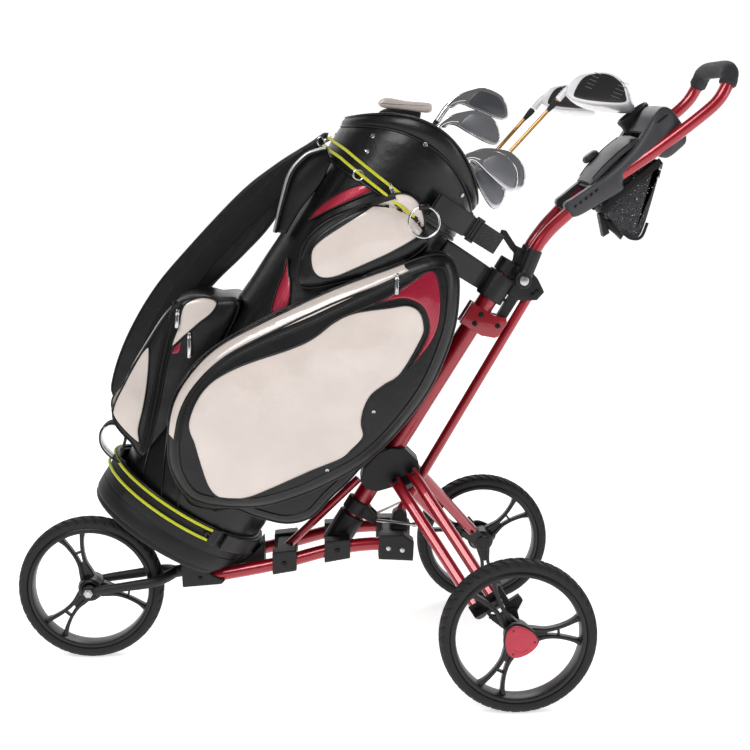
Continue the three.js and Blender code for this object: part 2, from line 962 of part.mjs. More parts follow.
// The rim is low at the front and back and rises at both sides.
function bagCuff() {
  const { mid, a, b, wall, bottom, rim: rimHeight, crown } = CUFF;
  const g = turned(
    [
      [1 - wall / a, bottom],
      [1, bottom],
      [1, rimHeight],
      [1 - wall / a, rimHeight],
      [1 - wall / a, bottom],
    ],
    32,
  );
  const at = g.attributes.position;
  for (let i = 0; i < at.count; i += 1) {
    const sideways = at.getY(i) ** 2 / (at.getX(i) ** 2 + at.getY(i) ** 2);
    if (at.getZ(i) > bottom + 1) at.setZ(i, rimHeight + crown * sideways);
  }
  g.scale(a, b, 1).translate(-mid, 0, 0);
  const lift = plate(
    [
      [-112, 960],
      [-18, 962],
      [-14, 996],
      [-30, 1016],
      [-84, 1004],
      [-112, 984],
    ],
    b - 24,
    b - 2,
    3,
  );
  return join(g, lift);
}

function clubDivider() {
  const { mid, a, b } = CUFF;
  const z = 868;
  const [outA, outB] = [a - CUFF.wall - 1, b - CUFF.wall - 1];
  const ring = turned(
    [
      [0.95, z],
      [1, z],
      [1, z + 12],
      [0.95, z + 12],
      [0.95, z],
    ],
    28,
  )
    .scale(outA, outB, 1)
    .translate(-mid, 0, 0);
  const bars = [
    box([62, 0, z + 6], [7, 300, 11]),
    box([110, 12, z + 6], [96, 7, 11]),
    box([-45, 44, z + 6], [214, 7, 11]),
    box([-45, -66, z + 6], [214, 7, 11]),
  ];
  const disc = turned(
    [
      [0, z],
      [0.99, z],
      [0.99, z + 12],
      [0, z + 12],
    ],
    28,
  )
    .scale(outA, outB, 1)
    .translate(-mid, 0, 0);
  const divider = join(ring, ...bars.map((bar) => common(bar, disc)));
  const ways = CLUBS.map(([foot, neck]) => rod(foot, neck, GRIP_R + 1, 10));
  return cut(divider, ...ways);
}

const LOWER_POCKET = [
  [5, 132],
  [-60, 150],
  [-105, 200],
  [-138, 275],
  [-140, 350],
  [-120, 425],
  [-60, 530],
  [0, 625],
  [60, 705],
  [130, 790],
  [178, 786],
  [222, 724],
  [248, 656],
  [264, 560],
  [258, 460],
  [240, 380],
  [206, 310],
  [160, 240],
  [100, 180],
];
const UPPER_POCKET = [
  [-50, 590],
  [-92, 640],
  [-100, 700],
  [-84, 760],
  [-44, 806],
  [20, 816],
  [80, 812],
  [108, 796],
  [90, 740],
  [20, 650],
];

function bodyVoid() {
  const { a1, b1 } = BODY;
  return oval(
    [
      [0, 0],
      [1, 0],
      [1, 1000],
      [0, 1000],
    ],
    0,
  )(a1 + 3, b1 + 3).rotateY(rad(BODY.lean));
}

const POCKET_IN = 84;

function sidePocket(side) {
  const layer = (outline, out, bevel, divisions) => {
    const flat = softOutline(outline, divisions);
    const [y0, y1] = side > 0 ? [POCKET_IN, out] : [-out, -POCKET_IN];
    return plate(flat, y0, y1, bevel);
  };
  const both = join(layer(LOWER_POCKET, 190, 16, 24), layer(UPPER_POCKET, 167, 10, 16));
  return cut(both, bodyVoid());
}

function ballPocket() {
  const outline = softOutline(
    [
      [-110, 150],
      [-170, 142],
      [-232, 172],
      [-240, 250],
      [-244, 340],
      [-242, 410],
      [-224, 452],
      [-176, 480],
      [-120, 474],
    ],
    24,
  );
  const block = plate(outline, -84, 84, 14);
  return cut(block, bodyVoid(), box([-80, -104, 320], [122, 60, 420]), box([-80, 104, 320], [122, 60, 420]));
}

function shoulderStrap() {
  const outline = softOutline(
    [
      [-178, 168],
      [-243, 160],
      [-269, 200],
      [-288, 290],
      [-292, 397],
      [-279, 501],
      [-248, 662],
      [-216, 754],
      [-182, 826],
      [-166, 862],
      [-156, 850],
      [-156, 760],
      [-158, 640],
      [-172, 560],
      [-192, 470],
      [-199, 370],
      [-194, 270],
    ],
    30,
  );
  return plate(outline, 92, 110);
}

function grabHandle() {
  const points = [
    [-146, 648],
    [-166, 706],
    [-181, 760],
    [-175, 803],
    [-160, 826],
    [-148, 838],
  ];
  return ribbon(points, 11, 44, 78, 12).rotateX(Math.PI / 2);
}

const RING = { x: 76, y: -174, z: 824, r: 29, wire: 2.2 };
const towelRing = () => new THREE.TorusGeometry(RING.r, RING.wire, 5, 14).rotateX(Math.PI / 2);

// ---------------------------------------------------------------- straps that hold the bag

function upperStrap(side) {
  const points = [
    [74, 158],
    [122, 145],
    [173, 112],
    [213, 70],
    [238, 32],
  ];
  return ribbon(points.map(([x, y]) => [x, side * y]), 4, 842, 884, 12);
}

// Two parallel cords round an oval, joined at each end by a clip.
function bungee(oval3, reach, level, spacing) {
  const { mid, a, b } = oval3;
  const at = (deg, dz) => [
    -(mid + a * Math.cos(rad(deg))),
    b * Math.sin(rad(deg)),
    level(Math.abs(deg)) + dz,
  ];
  const bends = 16;
  const cord = (dz) => {
    const points = Array.from({ length: bends + 1 }, (_, i) => at(-reach + (2 * reach * i) / bends, dz));
    return tube(smooth(points), 3, bends, 4);
  };
  const clip = (s) => {
    const [x, y, z] = at(s * reach, 0);
    const facing = Math.atan2(b * Math.cos(rad(reach)), a * Math.sin(rad(reach)));
    return box([0, 0, 0], [18, 8, spacing + 14]).rotateZ(s * facing).translate(x, y, z);
  };
  return join(cord(-spacing / 2), cord(spacing / 2), clip(-1), clip(1));
}

const upperBungee = () =>
  bungee({ mid: -6, a: 161, b: 157 }, 112, (deg) => 860 - 22 * Math.max(0, (deg - 60) / 52), 12);
const lowerBungee = () => bungee({ mid: 10, a: 171.5, b: 157.5 }, 118, () => 84, 22);

// ---------------------------------------------------------------- clubs

function shaftOf(foot, neck) {
  const along = vec(neck).sub(vec(foot)).normalize();
  const gripEnd = vec(foot).addScaledVector(along, 265).toArray();
  const past = vec(neck).addScaledVector(along, 4).toArray();
  return [rod(foot, gripEnd, GRIP_R, 10), rod(foot, past, SHAFT_R, 8)];
}

const BLADE = [
  [-8, -12],
  [8, -12],
  [20, 2],
  [54, -2],
  [92, -4],
  [112, 0],
  [116, 14],
  [104, 34],
  [84, 46],
  [52, 47],
  [28, 34],
  [6, 14],
];

function iron(foot, neck, turn) {
  const [x, y, z] = neck;
  const blade = plate(BLADE, -6, 6)
    .rotateY(-rad(turn))
    .translate(x, y, z);
  return join(...shaftOf(foot, neck), blade);
}

// A wood's head in the bag's frame: a flat face, and a body that runs back and towards the toe.
function wood(foot, neck, scale) {
  const [x, y, z] = neck;
  const [cx, cz] = HEAD_MIDDLE;
  const ring = (share, back) =>
    HEAD.map(([u, w]) => {
      const toe = cx + (u - cx) * share + back * HEAD_SWEEP;
      return vec([toe, back * HEAD_DEPTH - 20, cz + (w - cz) * share]).multiplyScalar(scale);
    });
  const head = new ConvexGeometry([
    ...ring(0.94, 0),
    ...ring(1, 0.15),
    ...ring(0.92, 0.6),
    ...ring(0.5, 1),
  ]).translate(x, y, z);
  return join(...shaftOf(foot, neck), head);
}

// Face of the driver's head from the neck, with its middle, its depth and how far the back lies towards the toe.
const HEAD = [
  [-8, -14],
  [-5, 24],
  [22, 52],
  [50, 68],
  [80, 67],
  [104, 52],
  [112, 34],
  [62, 2],
  [20, -17],
];
const HEAD_MIDDLE = [56, 30];
const HEAD_DEPTH = 96;
const HEAD_SWEEP = 50;
const FAIRWAY_SCALE = 0.8;

// ---------------------------------------------------------------- assembly

mesh("front_fork", frontFork(), BLACK, cart);
mesh("front_axle", frontAxle(), STEEL, cart);
mesh("left_rail", rail(-RAIL_Y), RED, cart);
mesh("right_rail", rail(RAIL_Y), RED, cart);
mesh("front_bracket", frontBracket(), BLACK, cart);
mesh("mid_clamp", midClamp(), BLACK, cart);
mesh("column_knuckle", columnKnuckle(), BLACK, cart);
mesh("rail_end_bracket", railEndBracket(), BLACK, cart);
mesh("stretcher_collar", stretcherCollar(), BLACK, cart);
mesh("column_tube", columnTube(), RED, column);
mesh("leg_hub", legHub(), BLACK, cart);
mesh("diagonal_strut", strut(8.5), RED, cart);
mesh("brace_rod", stay(STAY_R), RED, cart);
mesh("upper_cradle", upperCradle(), BLACK, cart);
mesh("handle_clamp", handleClamp(), BLACK, cart);
mesh("clamp_lever", clampLever(), BLACK, cart);

for (const side of [-1, 1]) {
  const name = side < 0 ? "left" : "right";
  mesh(`${name}_lower_leg`, legTube([0, 0, 0]), RED, legs[side]);
  mesh(`${name}_upper_leg`, legTube(UPPER_HIP), RED, legs[side]);
  mesh(`${name}_wheel_bracket`, wheelBracket(side), BLACK, cart);
  mesh(`${name}_stretcher`, stretcher(side), STEEL, cart);
  mesh(`${name}_strap`, upperStrap(side), WEBBING, bag);
}

mesh("brake_pedal", brakePedal(-1), BLACK, cart);

mesh("handle_tube", handleBar(HANDLE_R), RED, handle);
mesh("handle_grip", grip(), BLACK, handle);
mesh("handle_yoke", handleYoke(), BLACK, handle);
mesh("console_tray", consoleTray(), BLACK, consoleFrame);
mesh("console_lid", consoleLid(), BLACK, consoleFrame);
mesh("mesh_pouch", meshPouch(), WEBBING, handle);

mesh("bag_base", bagBase(), LEATHER, bag);
mesh("bag_body", bagBody(), LEATHER, bag);
mesh("bag_cuff", bagCuff(), LEATHER, bag);
mesh("club_divider", clubDivider(), BLACK, bag);
mesh("left_pocket", sidePocket(-1), CREAM, bag);
mesh("right_pocket", sidePocket(1), CREAM, bag);
mesh("ball_pocket", ballPocket(), CREAM, bag);
mesh("shoulder_strap", shoulderStrap(), WEBBING, bag);
mesh("grab_handle", grabHandle(), LEATHER, bag);
mesh("upper_bungee", upperBungee(), YELLOW, bag);
mesh("lower_bungee", lowerBungee(), YELLOW, bag);

const ringSpot = vec([RING.x, RING.y, RING.z]).applyMatrix4(bag.matrixWorld);
mesh("towel_ring", towelRing(), STEEL, cart).position.copy(ringSpot);

IRONS.forEach(([foot, neck], i) => {
  mesh(`iron_${i + 1}`, iron(foot, neck, BLADE_TURNS[i]), STEEL, bag);
});
mesh("driver", wood(...DRIVER, 1), CARBON, bag);
mesh("fairway_wood", wood(...FAIRWAY, FAIRWAY_SCALE), CARBON, bag);

const part = new THREE.Group();
part.add(cart);
part.updateMatrixWorld(true);
const bounds = new THREE.Box3().setFromObject(part, true);
cart.position.x = -(bounds.min.x + bounds.max.x) / 2;

export default part;
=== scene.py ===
"""Looks of the golf bag on its push cart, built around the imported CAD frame. Metres, +Z up."""

import math

import bmesh
import bpy
import numpy as np
from mathutils import Matrix, Vector
from mathutils.geometry import delaunay_2d_cdt


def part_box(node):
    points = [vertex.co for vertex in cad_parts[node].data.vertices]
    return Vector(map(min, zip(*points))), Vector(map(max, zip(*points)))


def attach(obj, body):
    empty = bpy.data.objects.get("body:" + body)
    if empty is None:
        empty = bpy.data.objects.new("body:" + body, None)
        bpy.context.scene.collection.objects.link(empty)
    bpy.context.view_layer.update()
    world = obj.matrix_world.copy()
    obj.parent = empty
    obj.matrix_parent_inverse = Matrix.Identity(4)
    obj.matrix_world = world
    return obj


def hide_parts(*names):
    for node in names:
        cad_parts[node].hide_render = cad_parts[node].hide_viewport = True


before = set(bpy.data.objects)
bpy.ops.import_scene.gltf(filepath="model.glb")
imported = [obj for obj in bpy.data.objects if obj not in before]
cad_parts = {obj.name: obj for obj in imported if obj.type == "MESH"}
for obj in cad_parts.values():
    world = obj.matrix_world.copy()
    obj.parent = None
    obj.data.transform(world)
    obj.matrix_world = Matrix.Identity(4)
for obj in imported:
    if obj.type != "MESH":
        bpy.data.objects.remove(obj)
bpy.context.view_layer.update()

# ---------------------------------------------------------------- driving sizes, in millimetres

MM = 0.001
AXLE_X = 421.7
TRACK_Y = 310.5
WHEEL_R = 149.0
RAIL_Y = 65
HANDLE_PIVOT = (457, 0, 787)
CONSOLE_FOOT = (126, 0, 170)
BAG_FOOT = (-262, 0, 262)
COLUMN_FOOT = (88, 0, 250)
BAG_TILT = 57
COLUMN_TILT = 58.4
CONSOLE_TILT = 37
BOOT = {"mid": 10, "a": 166, "b": 152, "top": 97}
CUFF = {"mid": -6, "a": 153, "b": 149, "bottom": 822, "rim": 908, "crown": 78}

tyre_low, tyre_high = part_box("front_tyre")
MIDDLE_X = (tyre_low.x + tyre_high.x) / 2 + AXLE_X * MM  # the cart's middle in the frame, metres


def turned_frame(parent, origin, tilt):
    return parent @ Matrix.Translation(origin) @ Matrix.Rotation(math.radians(tilt), 4, "Y")


CART = Matrix.Translation((MIDDLE_X, 0, 0)) @ Matrix.Scale(MM, 4)
BAG = turned_frame(CART, BAG_FOOT, 90 - BAG_TILT)
COLUMN = turned_frame(CART, COLUMN_FOOT, 90 - COLUMN_TILT)
HANDLE = turned_frame(CART, HANDLE_PIVOT, 0)
CONSOLE = turned_frame(HANDLE, CONSOLE_FOOT, -CONSOLE_TILT)

# ---------------------------------------------------------------- camera, floor and light

CAMERA_AT = (63.8, -2809.2, 1109.8)  # cart millimetres
CAMERA_AZIMUTH = -2.06
CAMERA_ELEVATION = 10.48
FOCAL_PX = 1408.5
FRAME_PX = 750


def add_camera():
    data = bpy.data.cameras.new("camera")
    data.sensor_width = 36
    data.lens = data.sensor_width * FOCAL_PX / FRAME_PX
    camera = bpy.data.objects.new("camera", data)
    bpy.context.scene.collection.objects.link(camera)
    camera.location = CART @ Vector(CAMERA_AT)
    az, el = math.radians(CAMERA_AZIMUTH), math.radians(CAMERA_ELEVATION)
    forward = Vector((-math.sin(az) * math.cos(el), math.cos(az) * math.cos(el), -math.sin(el)))
    camera.rotation_euler = forward.to_track_quat("-Z", "Y").to_euler()
    bpy.context.scene.camera = camera


def area_light(name, at, size, power, target=(0, 0, 0.6)):
    data = bpy.data.lights.new(name, "AREA")
    data.shape = "RECTANGLE"
    data.size, data.size_y = size
    data.energy = power
    light = bpy.data.objects.new(name, data)
    light.location = at
    light.rotation_euler = (Vector(target) - Vector(at)).to_track_quat("-Z", "Y").to_euler()
    bpy.context.scene.collection.objects.link(light)


def backdrop_paint():
    """White paper that glows a little, so the ground and the background read as one."""
    n = Nodes("backdrop_paper")
    n.tint(n.noise(3, 2), srgb(244, 243, 242), srgb(248, 247, 246))
    n.vary_roughness(n.noise(6, 2), 0.9, 0.98)
    n.shader.inputs["Specular IOR Level"].default_value = 0.0
    n.shader.inputs["Emission Color"].default_value = (1, 1, 1, 1)
    n.shader.inputs["Emission Strength"].default_value = 0.62
    return n.material


def add_backdrop():
    """Floor that curves up behind the object, as one smooth sheet."""
    half, front, back, radius = 9.0, -6.0, 3.2, 2.2
    line = [(front, 0.0), (back, 0.0)]
    line += [
        (back + radius * math.sin(t), radius * (1 - math.cos(t)))
        for t in np.linspace(0.05, math.pi / 2, 24)
    ]
    line.append((back + radius, 8.0))
    verts = [(side * half, y, z) for y, z in line for side in (-1, 1)]
    faces = [(2 * k, 2 * k + 1, 2 * k + 3, 2 * k + 2) for k in range(len(line) - 1)]
    sheet = bpy.data.objects.new("backdrop", bpy.data.meshes.new("backdrop"))
    sheet.data.from_pydata(verts, [], faces)
    sheet.data.polygons.foreach_set("use_smooth", [True] * len(faces))
    sheet.data.materials.append(backdrop_paint())
    bpy.context.scene.collection.objects.link(sheet)


def add_studio():
    world = bpy.data.worlds.new("studio")
    world.use_nodes = True
    world.node_tree.nodes["Background"].inputs["Color"].default_value = (1, 1, 1, 1)
    world.node_tree.nodes["Background"].inputs["Strength"].default_value = 0.16
    bpy.context.scene.world = world
    area_light("key", (-1.4, -2.4, 3.0), (1.6, 1.6), 62)
    area_light("fill", (2.8, -1.8, 1.4), (0.8, 2.2), 22)
    area_light("back", (0.6, 2.6, 2.8), (2.4, 1.2), 30)
    add_backdrop()
    bpy.context.scene.view_settings.view_transform = "Standard"


# ---------------------------------------------------------------- materials


def srgb(r, g, b):
    return tuple(((c / 255 + 0.055) / 1.055) ** 2.4 if c > 10 else c / 255 / 12.92 for c in (r, g, b))


class Nodes:
    """Short ways to add nodes to one material."""

    def __init__(self, name):
        self.material = bpy.data.materials.new(name)
        self.material.use_nodes = True
        self.tree = self.material.node_tree
        self.shader = self.tree.nodes["Principled BSDF"]
        self.height = None
        self.place = self.add("ShaderNodeTexCoord").outputs["Object"]

    def add(self, kind, **inputs):
        node = self.tree.nodes.new(kind)
        for key, value in inputs.items():
            node.inputs[key].default_value = value
        return node

    def link(self, source, target):
        self.tree.links.new(source, target)

    def mapped(self, scale=(1, 1, 1), turn=(0, 0, 0)):
        node = self.add("ShaderNodeMapping")
        node.inputs["Scale"].default_value = scale
        node.inputs["Rotation"].default_value = [math.radians(a) for a in turn]
        self.link(self.place, node.inputs["Vector"])
        return node.outputs["Vector"]

    def noise(self, scale, detail=3.0, rough=0.5, vector=None):
        node = self.add("ShaderNodeTexNoise", Scale=scale, Detail=detail, Roughness=rough)
        self.link(vector or self.place, node.inputs["Vector"])
        return node.outputs["Fac"]

    def cells(self, scale, feature="F1", vector=None):
        node = self.add("ShaderNodeTexVoronoi", Scale=scale)
        node.feature = feature
        self.link(vector or self.place, node.inputs["Vector"])
        return node.outputs["Distance"]

    def waves(self, scale, turn=(0, 0, 0), distortion=0.0, profile="SIN"):
        node = self.add("ShaderNodeTexWave", Scale=scale, Distortion=distortion)
        node.wave_profile = profile
        self.link(self.mapped(turn=turn), node.inputs["Vector"])
        return node.outputs["Fac"]

    def ramp(self, fac, stops):
        node = self.add("ShaderNodeValToRGB")
        self.link(fac, node.inputs["Fac"])
        elements = node.color_ramp.elements
        while len(elements) < len(stops):
            elements.new(0.5)
        for element, (at, color) in zip(elements, stops):
            element.position = at
            element.color = (*color, 1)
        return node.outputs["Color"]

    def math(self, operation, a, b):
        node = self.add("ShaderNodeMath")
        node.operation = operation
        for value, socket in ((a, node.inputs[0]), (b, node.inputs[1])):
            if isinstance(value, (int, float)):
                socket.default_value = value
            else:
                self.link(value, socket)
        return node.outputs["Value"]

    def bump(self, fac, strength, distance):
        node = self.add("ShaderNodeBump", Strength=strength, Distance=distance)
        self.link(fac, node.inputs["Height"])
        if self.height:
            self.link(self.height, node.inputs["Normal"])
        self.height = node.outputs["Normal"]
        self.link(self.height, self.shader.inputs["Normal"])

    def tint(self, fac, low, high, start=0.3, end=0.7):
        """Base colour that runs between two colours."""
        self.link(self.ramp(fac, [(start, low), (end, high)]), self.shader.inputs["Base Color"])

    def vary_roughness(self, fac, low, high):
        node = self.add("ShaderNodeMapRange")
        node.inputs["To Min"].default_value = low
        node.inputs["To Max"].default_value = high
        self.link(fac, node.inputs["Value"])
        self.link(node.outputs["Result"], self.shader.inputs["Roughness"])


def shade(color, k):
    return tuple(min(1.0, c * k) for c in color)


def finish(name, color, rough=0.5, metal=0.0, coat=0.0, mottle=0.08, mottle_scale=18, **more):
    """A plain moulded or painted finish with slight changes of colour and gloss."""
    n = Nodes(name)
    s = n.shader.inputs
    s["Metallic"].default_value = metal
    s["Coat Weight"].default_value = coat
    s["Coat Roughness"].default_value = more.get("coat_rough", 0.06)
    s["Specular IOR Level"].default_value = more.get("specular", 0.5)
    n.tint(n.noise(mottle_scale, 4), shade(color, 1 - mottle), shade(color, 1 + mottle))
    n.vary_roughness(n.noise(mottle_scale * 3, 5), max(0.02, rough - 0.05), min(1, rough + 0.07))
    grain = more.get("grain", 0)
    if grain:
        n.bump(n.noise(more.get("grain_scale", 1400), 4, 0.6), grain, 0.0004)
    return n.material


def red_paint():
    n = Nodes("red_paint")
    deep, bright = srgb(140, 2, 26), srgb(186, 6, 38)
    flakes = n.noise(2600, 1)
    n.tint(flakes, deep, bright, 0.25, 0.8)
    n.shader.inputs["Metallic"].default_value = 0.35
    n.shader.inputs["Coat Weight"].default_value = 1.0
    n.shader.inputs["Coat Roughness"].default_value = 0.04
    n.vary_roughness(n.noise(30, 4), 0.26, 0.38)
    n.bump(n.noise(70, 3), 0.05, 0.0006)
    return n.material


LEATHER_SHEEN = 0.36


def leather(name, color, rough, coat, grain, wrinkle, coat_rough=0.05):
    n = Nodes(name)
    s = n.shader.inputs
    s["Coat Weight"].default_value = coat
    s["Coat Roughness"].default_value = coat_rough
    s["Specular IOR Level"].default_value = LEATHER_SHEEN
    n.tint(n.noise(9, 5), shade(color, 0.93), shade(color, 1.05))
    n.vary_roughness(n.noise(40, 4), rough - 0.04, rough + 0.08)
    n.bump(n.noise(11, 4, 0.55), wrinkle, 0.012)
    n.bump(n.cells(620, "SMOOTH_F1"), grain, 0.0007)
    n.bump(n.cells(1500), grain * 0.5, 0.0003)
    return n.material


def carbon_red():
    n = Nodes("carbon_red")
    bands = n.waves(118, turn=(0, 12, 0))
    n.tint(bands, srgb(120, 2, 32), srgb(196, 14, 60), 0.25, 0.75)
    n.shader.inputs["Metallic"].default_value = 0.3
    n.shader.inputs["Coat Weight"].default_value = 1.0
    n.shader.inputs["Coat Roughness"].default_value = 0.05
    n.vary_roughness(n.noise(30, 3), 0.24, 0.36)
    n.bump(bands, 0.25, 0.0008)
    n.bump(n.noise(9, 3), 0.3, 0.01)
    return n.material


def woven(name, color, threads=520, rough=0.85, sheen=0.25):
    n = Nodes(name)
    n.shader.inputs["Sheen Weight"].default_value = sheen
    n.shader.inputs["Sheen Roughness"].default_value = 0.4
    warp = n.waves(threads, turn=(0, 0, 0))
    weft = n.waves(threads, turn=(0, 90, 90))
    cloth = n.math("MULTIPLY", warp, weft)
    n.tint(cloth, shade(color, 0.6), shade(color, 1.5), 0.1, 0.8)
    n.vary_roughness(n.noise(50, 3), rough - 0.08, min(1, rough + 0.08))
    n.bump(cloth, 0.5, 0.0008)
    return n.material


def net():
    """Open nylon mesh: round holes in a dark cloth."""
    n = Nodes("net")
    n.shader.inputs["Roughness"].default_value = 0.7
    dots = n.cells(300)
    n.tint(dots, srgb(26, 26, 29), srgb(58, 58, 62), 0.2, 0.7)
    hole = n.math("GREATER_THAN", n.cells(330, vector=n.mapped(scale=(1, 0.2, 1))), 0.26)
    n.link(hole, n.shader.inputs["Alpha"])
    n.bump(dots, 0.6, 0.001)
    return n.material


def foam():
    n = Nodes("foam_grip")
    color = srgb(44, 44, 47)
    ribs = n.waves(150, turn=(0, 0, 90))
    fine = n.waves(150, turn=(0, 50, 0))
    n.tint(n.noise(60, 4), shade(color, 0.8), shade(color, 1.25))
    n.vary_roughness(n.noise(80, 4), 0.62, 0.8)
    n.bump(n.math("MULTIPLY", ribs, fine), 0.55, 0.0014)
    n.bump(n.noise(1500, 3), 0.25, 0.0004)
    return n.material


def elastic():
    n = Nodes("elastic")
    n.shader.inputs["Sheen Weight"].default_value = 0.2
    braid = n.waves(420, turn=(35, 20, 45))
    n.tint(braid, srgb(196, 200, 10), srgb(244, 246, 48), 0.2, 0.7)
    n.vary_roughness(n.noise(90, 3), 0.5, 0.65)
    n.bump(braid, 0.6, 0.0009)
    return n.material


def metal(name, color, rough, brushed=0.0, turn=(0, 0, 0)):
    n = Nodes(name)
    n.shader.inputs["Metallic"].default_value = 1.0
    n.tint(n.noise(14, 4), shade(color, 0.9), shade(color, 1.04))
    n.vary_roughness(n.noise(60, 5), max(0.03, rough - 0.04), rough + 0.06)
    if brushed:
        n.bump(n.noise(600, 3, 0.6, n.mapped(scale=(1, 1, 0.04), turn=turn)), brushed, 0.0003)
    return n.material


def club_face(name, color, metallic, rough):
    """Metal face with fine milled lines."""
    n = Nodes(name)
    n.shader.inputs["Metallic"].default_value = metallic
    lines = n.waves(95, turn=(0, 57 - 90, 0), profile="SAW")
    n.tint(lines, shade(color, 0.75), shade(color, 1.1), 0.05, 0.3)
    n.vary_roughness(n.noise(200, 4), rough - 0.05, rough + 0.1)
    n.bump(lines, 0.4, 0.0006)
    return n.material


def fleece():
    n = Nodes("fleece")
    color = srgb(38, 38, 42)
    n.shader.inputs["Sheen Weight"].default_value = 0.6
    n.tint(n.noise(260, 5, 0.7), shade(color, 0.6), shade(color, 1.6))
    n.vary_roughness(n.noise(90, 3), 0.88, 1.0)
    n.bump(n.noise(420, 6, 0.75), 0.9, 0.002)
    return n.material


M = {
    "red": red_paint(),
    "black": finish("black_moulding", srgb(18, 18, 20), 0.5, grain=0.22),
    "rim": finish("rim_moulding", srgb(14, 14, 16), 0.36, grain=0.08, grain_scale=900),
    "console": finish("console_moulding", srgb(58, 58, 63), 0.46, grain=0.3, grain_scale=1700),
    "console_dark": finish("console_inside", srgb(30, 30, 33), 0.55, grain=0.3, grain_scale=1700),
    "tyre": finish("tyre_rubber", srgb(30, 30, 32), 0.72, grain=0.35, grain_scale=700, mottle=0.16),
    "cap": finish("hub_cap_red", srgb(196, 44, 68), 0.42, coat=0.3, grain=0.1),
    "bolt": finish("black_bolt", srgb(24, 24, 26), 0.34, metal=0.4),
    "steel": metal("zinc_steel", (0.62, 0.62, 0.61), 0.3, 0.15),
    "chrome": metal("chrome", (0.78, 0.78, 0.79), 0.09),
    "shaft": metal("bronze_shaft", srgb(196, 146, 92), 0.2),
    "iron_face": club_face("iron_face", srgb(126, 127, 132), 0.75, 0.38),
    "iron_dark": finish("iron_insert", srgb(92, 93, 98), 0.34, metal=0.7, mottle=0.05),
    "wood_black": finish("wood_face", srgb(40, 38, 38), 0.3, metal=0.2, coat=0.5),
    "wood_crown": finish("wood_crown", srgb(22, 22, 25), 0.14, coat=1.0),
    "white": finish("white_lacquer", srgb(238, 236, 240), 0.16, coat=1.0, mottle=0.02),
    "cream": leather("cream_patent", srgb(226, 214, 207), 0.16, 1.0, 0.05, 0.35),
    "leather": leather("black_leather", srgb(5, 5, 6), 0.36, 0.22, 0.28, 0.36, 0.2),
    "boot": leather("boot_rubber", srgb(16, 16, 18), 0.5, 0.0, 0.5, 0.1),
    "carbon": carbon_red(),
    "webbing": woven("webbing", srgb(22, 22, 24)),
    "zip": woven("zip_tape", srgb(15, 15, 17), threads=900, rough=0.7),
    "net": net(),
    "foam": foam(),
    "elastic": elastic(),
    "fleece": fleece(),
}

# ---------------------------------------------------------------- geometry in millimetres


def circle(r, n=24, squash=1.0):
    turn = turns(n)
    return np.column_stack([r * np.cos(turn), r * squash * np.sin(turn)])


def turns(n):
    """Angles of n even steps round a circle."""
    return np.linspace(0, 2 * math.pi, n, endpoint=False)


def facing(shape, direction, axis=(0, 0, 1)):
    """The shape turned so that its axis looks along a direction."""
    turn = Vector(axis).rotation_difference(Vector(direction)).to_matrix()
    return shape[0] @ np.array(turn).T, shape[1]


def rounded_box(w, h, r, n=4):
    """A rectangle's outline with round corners."""
    points = []
    for k, (sx, sy) in enumerate([(1, 1), (-1, 1), (-1, -1), (1, -1)]):
        for t in np.linspace(0, math.pi / 2, n + 1):
            angle = t + k * math.pi / 2
            points.append(
                (sx * (w / 2 - r) + r * math.cos(angle), sy * (h / 2 - r) + r * math.sin(angle))
            )
    return np.array(points)


def curve(points, n, closed=False):
    """A smooth line through the points, as n evenly spaced points."""
    p = np.array(points, float)
    if closed:
        ring = np.vstack([p[-1], p, p[0], p[1]])
    else:
        ring = np.vstack([2 * p[0] - p[1], p, 2 * p[-1] - p[-2]])
    fine = []
    for i in range(1, len(ring) - 2):
        a, b, c, d = ring[i - 1 : i + 3]
        for t in np.linspace(0, 1, 24, endpoint=False):
            fine.append(
                0.5 * (
                    2 * b + (c - a) * t + (2 * a - 5 * b + 4 * c - d) * t**2 + (3 * b - a - 3 * c + d) * t**3
                )
            )
    if not closed:
        fine.append(p[-1])
    fine = np.array(fine)
    if closed:
        fine = np.vstack([fine, fine[0]])
    length = np.concatenate([[0], np.cumsum(np.linalg.norm(np.diff(fine, axis=0), axis=1))])
    at = np.linspace(0, length[-1], n + 1 if closed else n)
    out = np.column_stack([np.interp(at, length, fine[:, k]) for k in range(p.shape[1])])
    return out[:-1] if closed else out


def ring_faces(rings, n, closed=False, caps=True):
    faces = []
    last = rings if closed else rings - 1
    for i in range(last):
        for j in range(n):
            a, b = i * n + j, i * n + (j + 1) % n
            c, d = ((i + 1) % rings) * n + (j + 1) % n, ((i + 1) % rings) * n + j
            faces.append((a, b, c, d))
    if caps and not closed:
        faces.append(tuple(reversed(range(n))))
        faces.append(tuple(range((rings - 1) * n, rings * n)))
    return faces


def sweep(path, section, closed=False, scale=None, up=(0, 1, 0)):
    """Carries a closed section along a path; section x lies along up x tangent, y along up."""
    path = np.array(path, float)
    section = np.array(section, float)
    n = len(path)
    if closed:
        tangent = np.roll(path, -1, 0) - np.roll(path, 1, 0)
    else:
        tangent = np.gradient(path, axis=0)
    tangent /= np.linalg.norm(tangent, axis=1)[:, None]
    normal = np.array(up, float)
    verts = []
    for i in range(n):
        normal = normal - tangent[i] * normal.dot(tangent[i])
        normal /= np.linalg.norm(normal)
        side = np.cross(tangent[i], normal)
        k = np.array(scale[i] if scale is not None else (1, 1), float)
        for x, y in section * k:
            verts.append(path[i] + side * x + normal * y)
    return np.array(verts), ring_faces(n, len(section), closed)


def tube(points, r, steps=40, sides=20, closed=False, up=(0, 1, 0), scale=None, squash=1.0):
    return sweep(curve(points, steps, closed), circle(r, sides, squash), closed, scale, up)


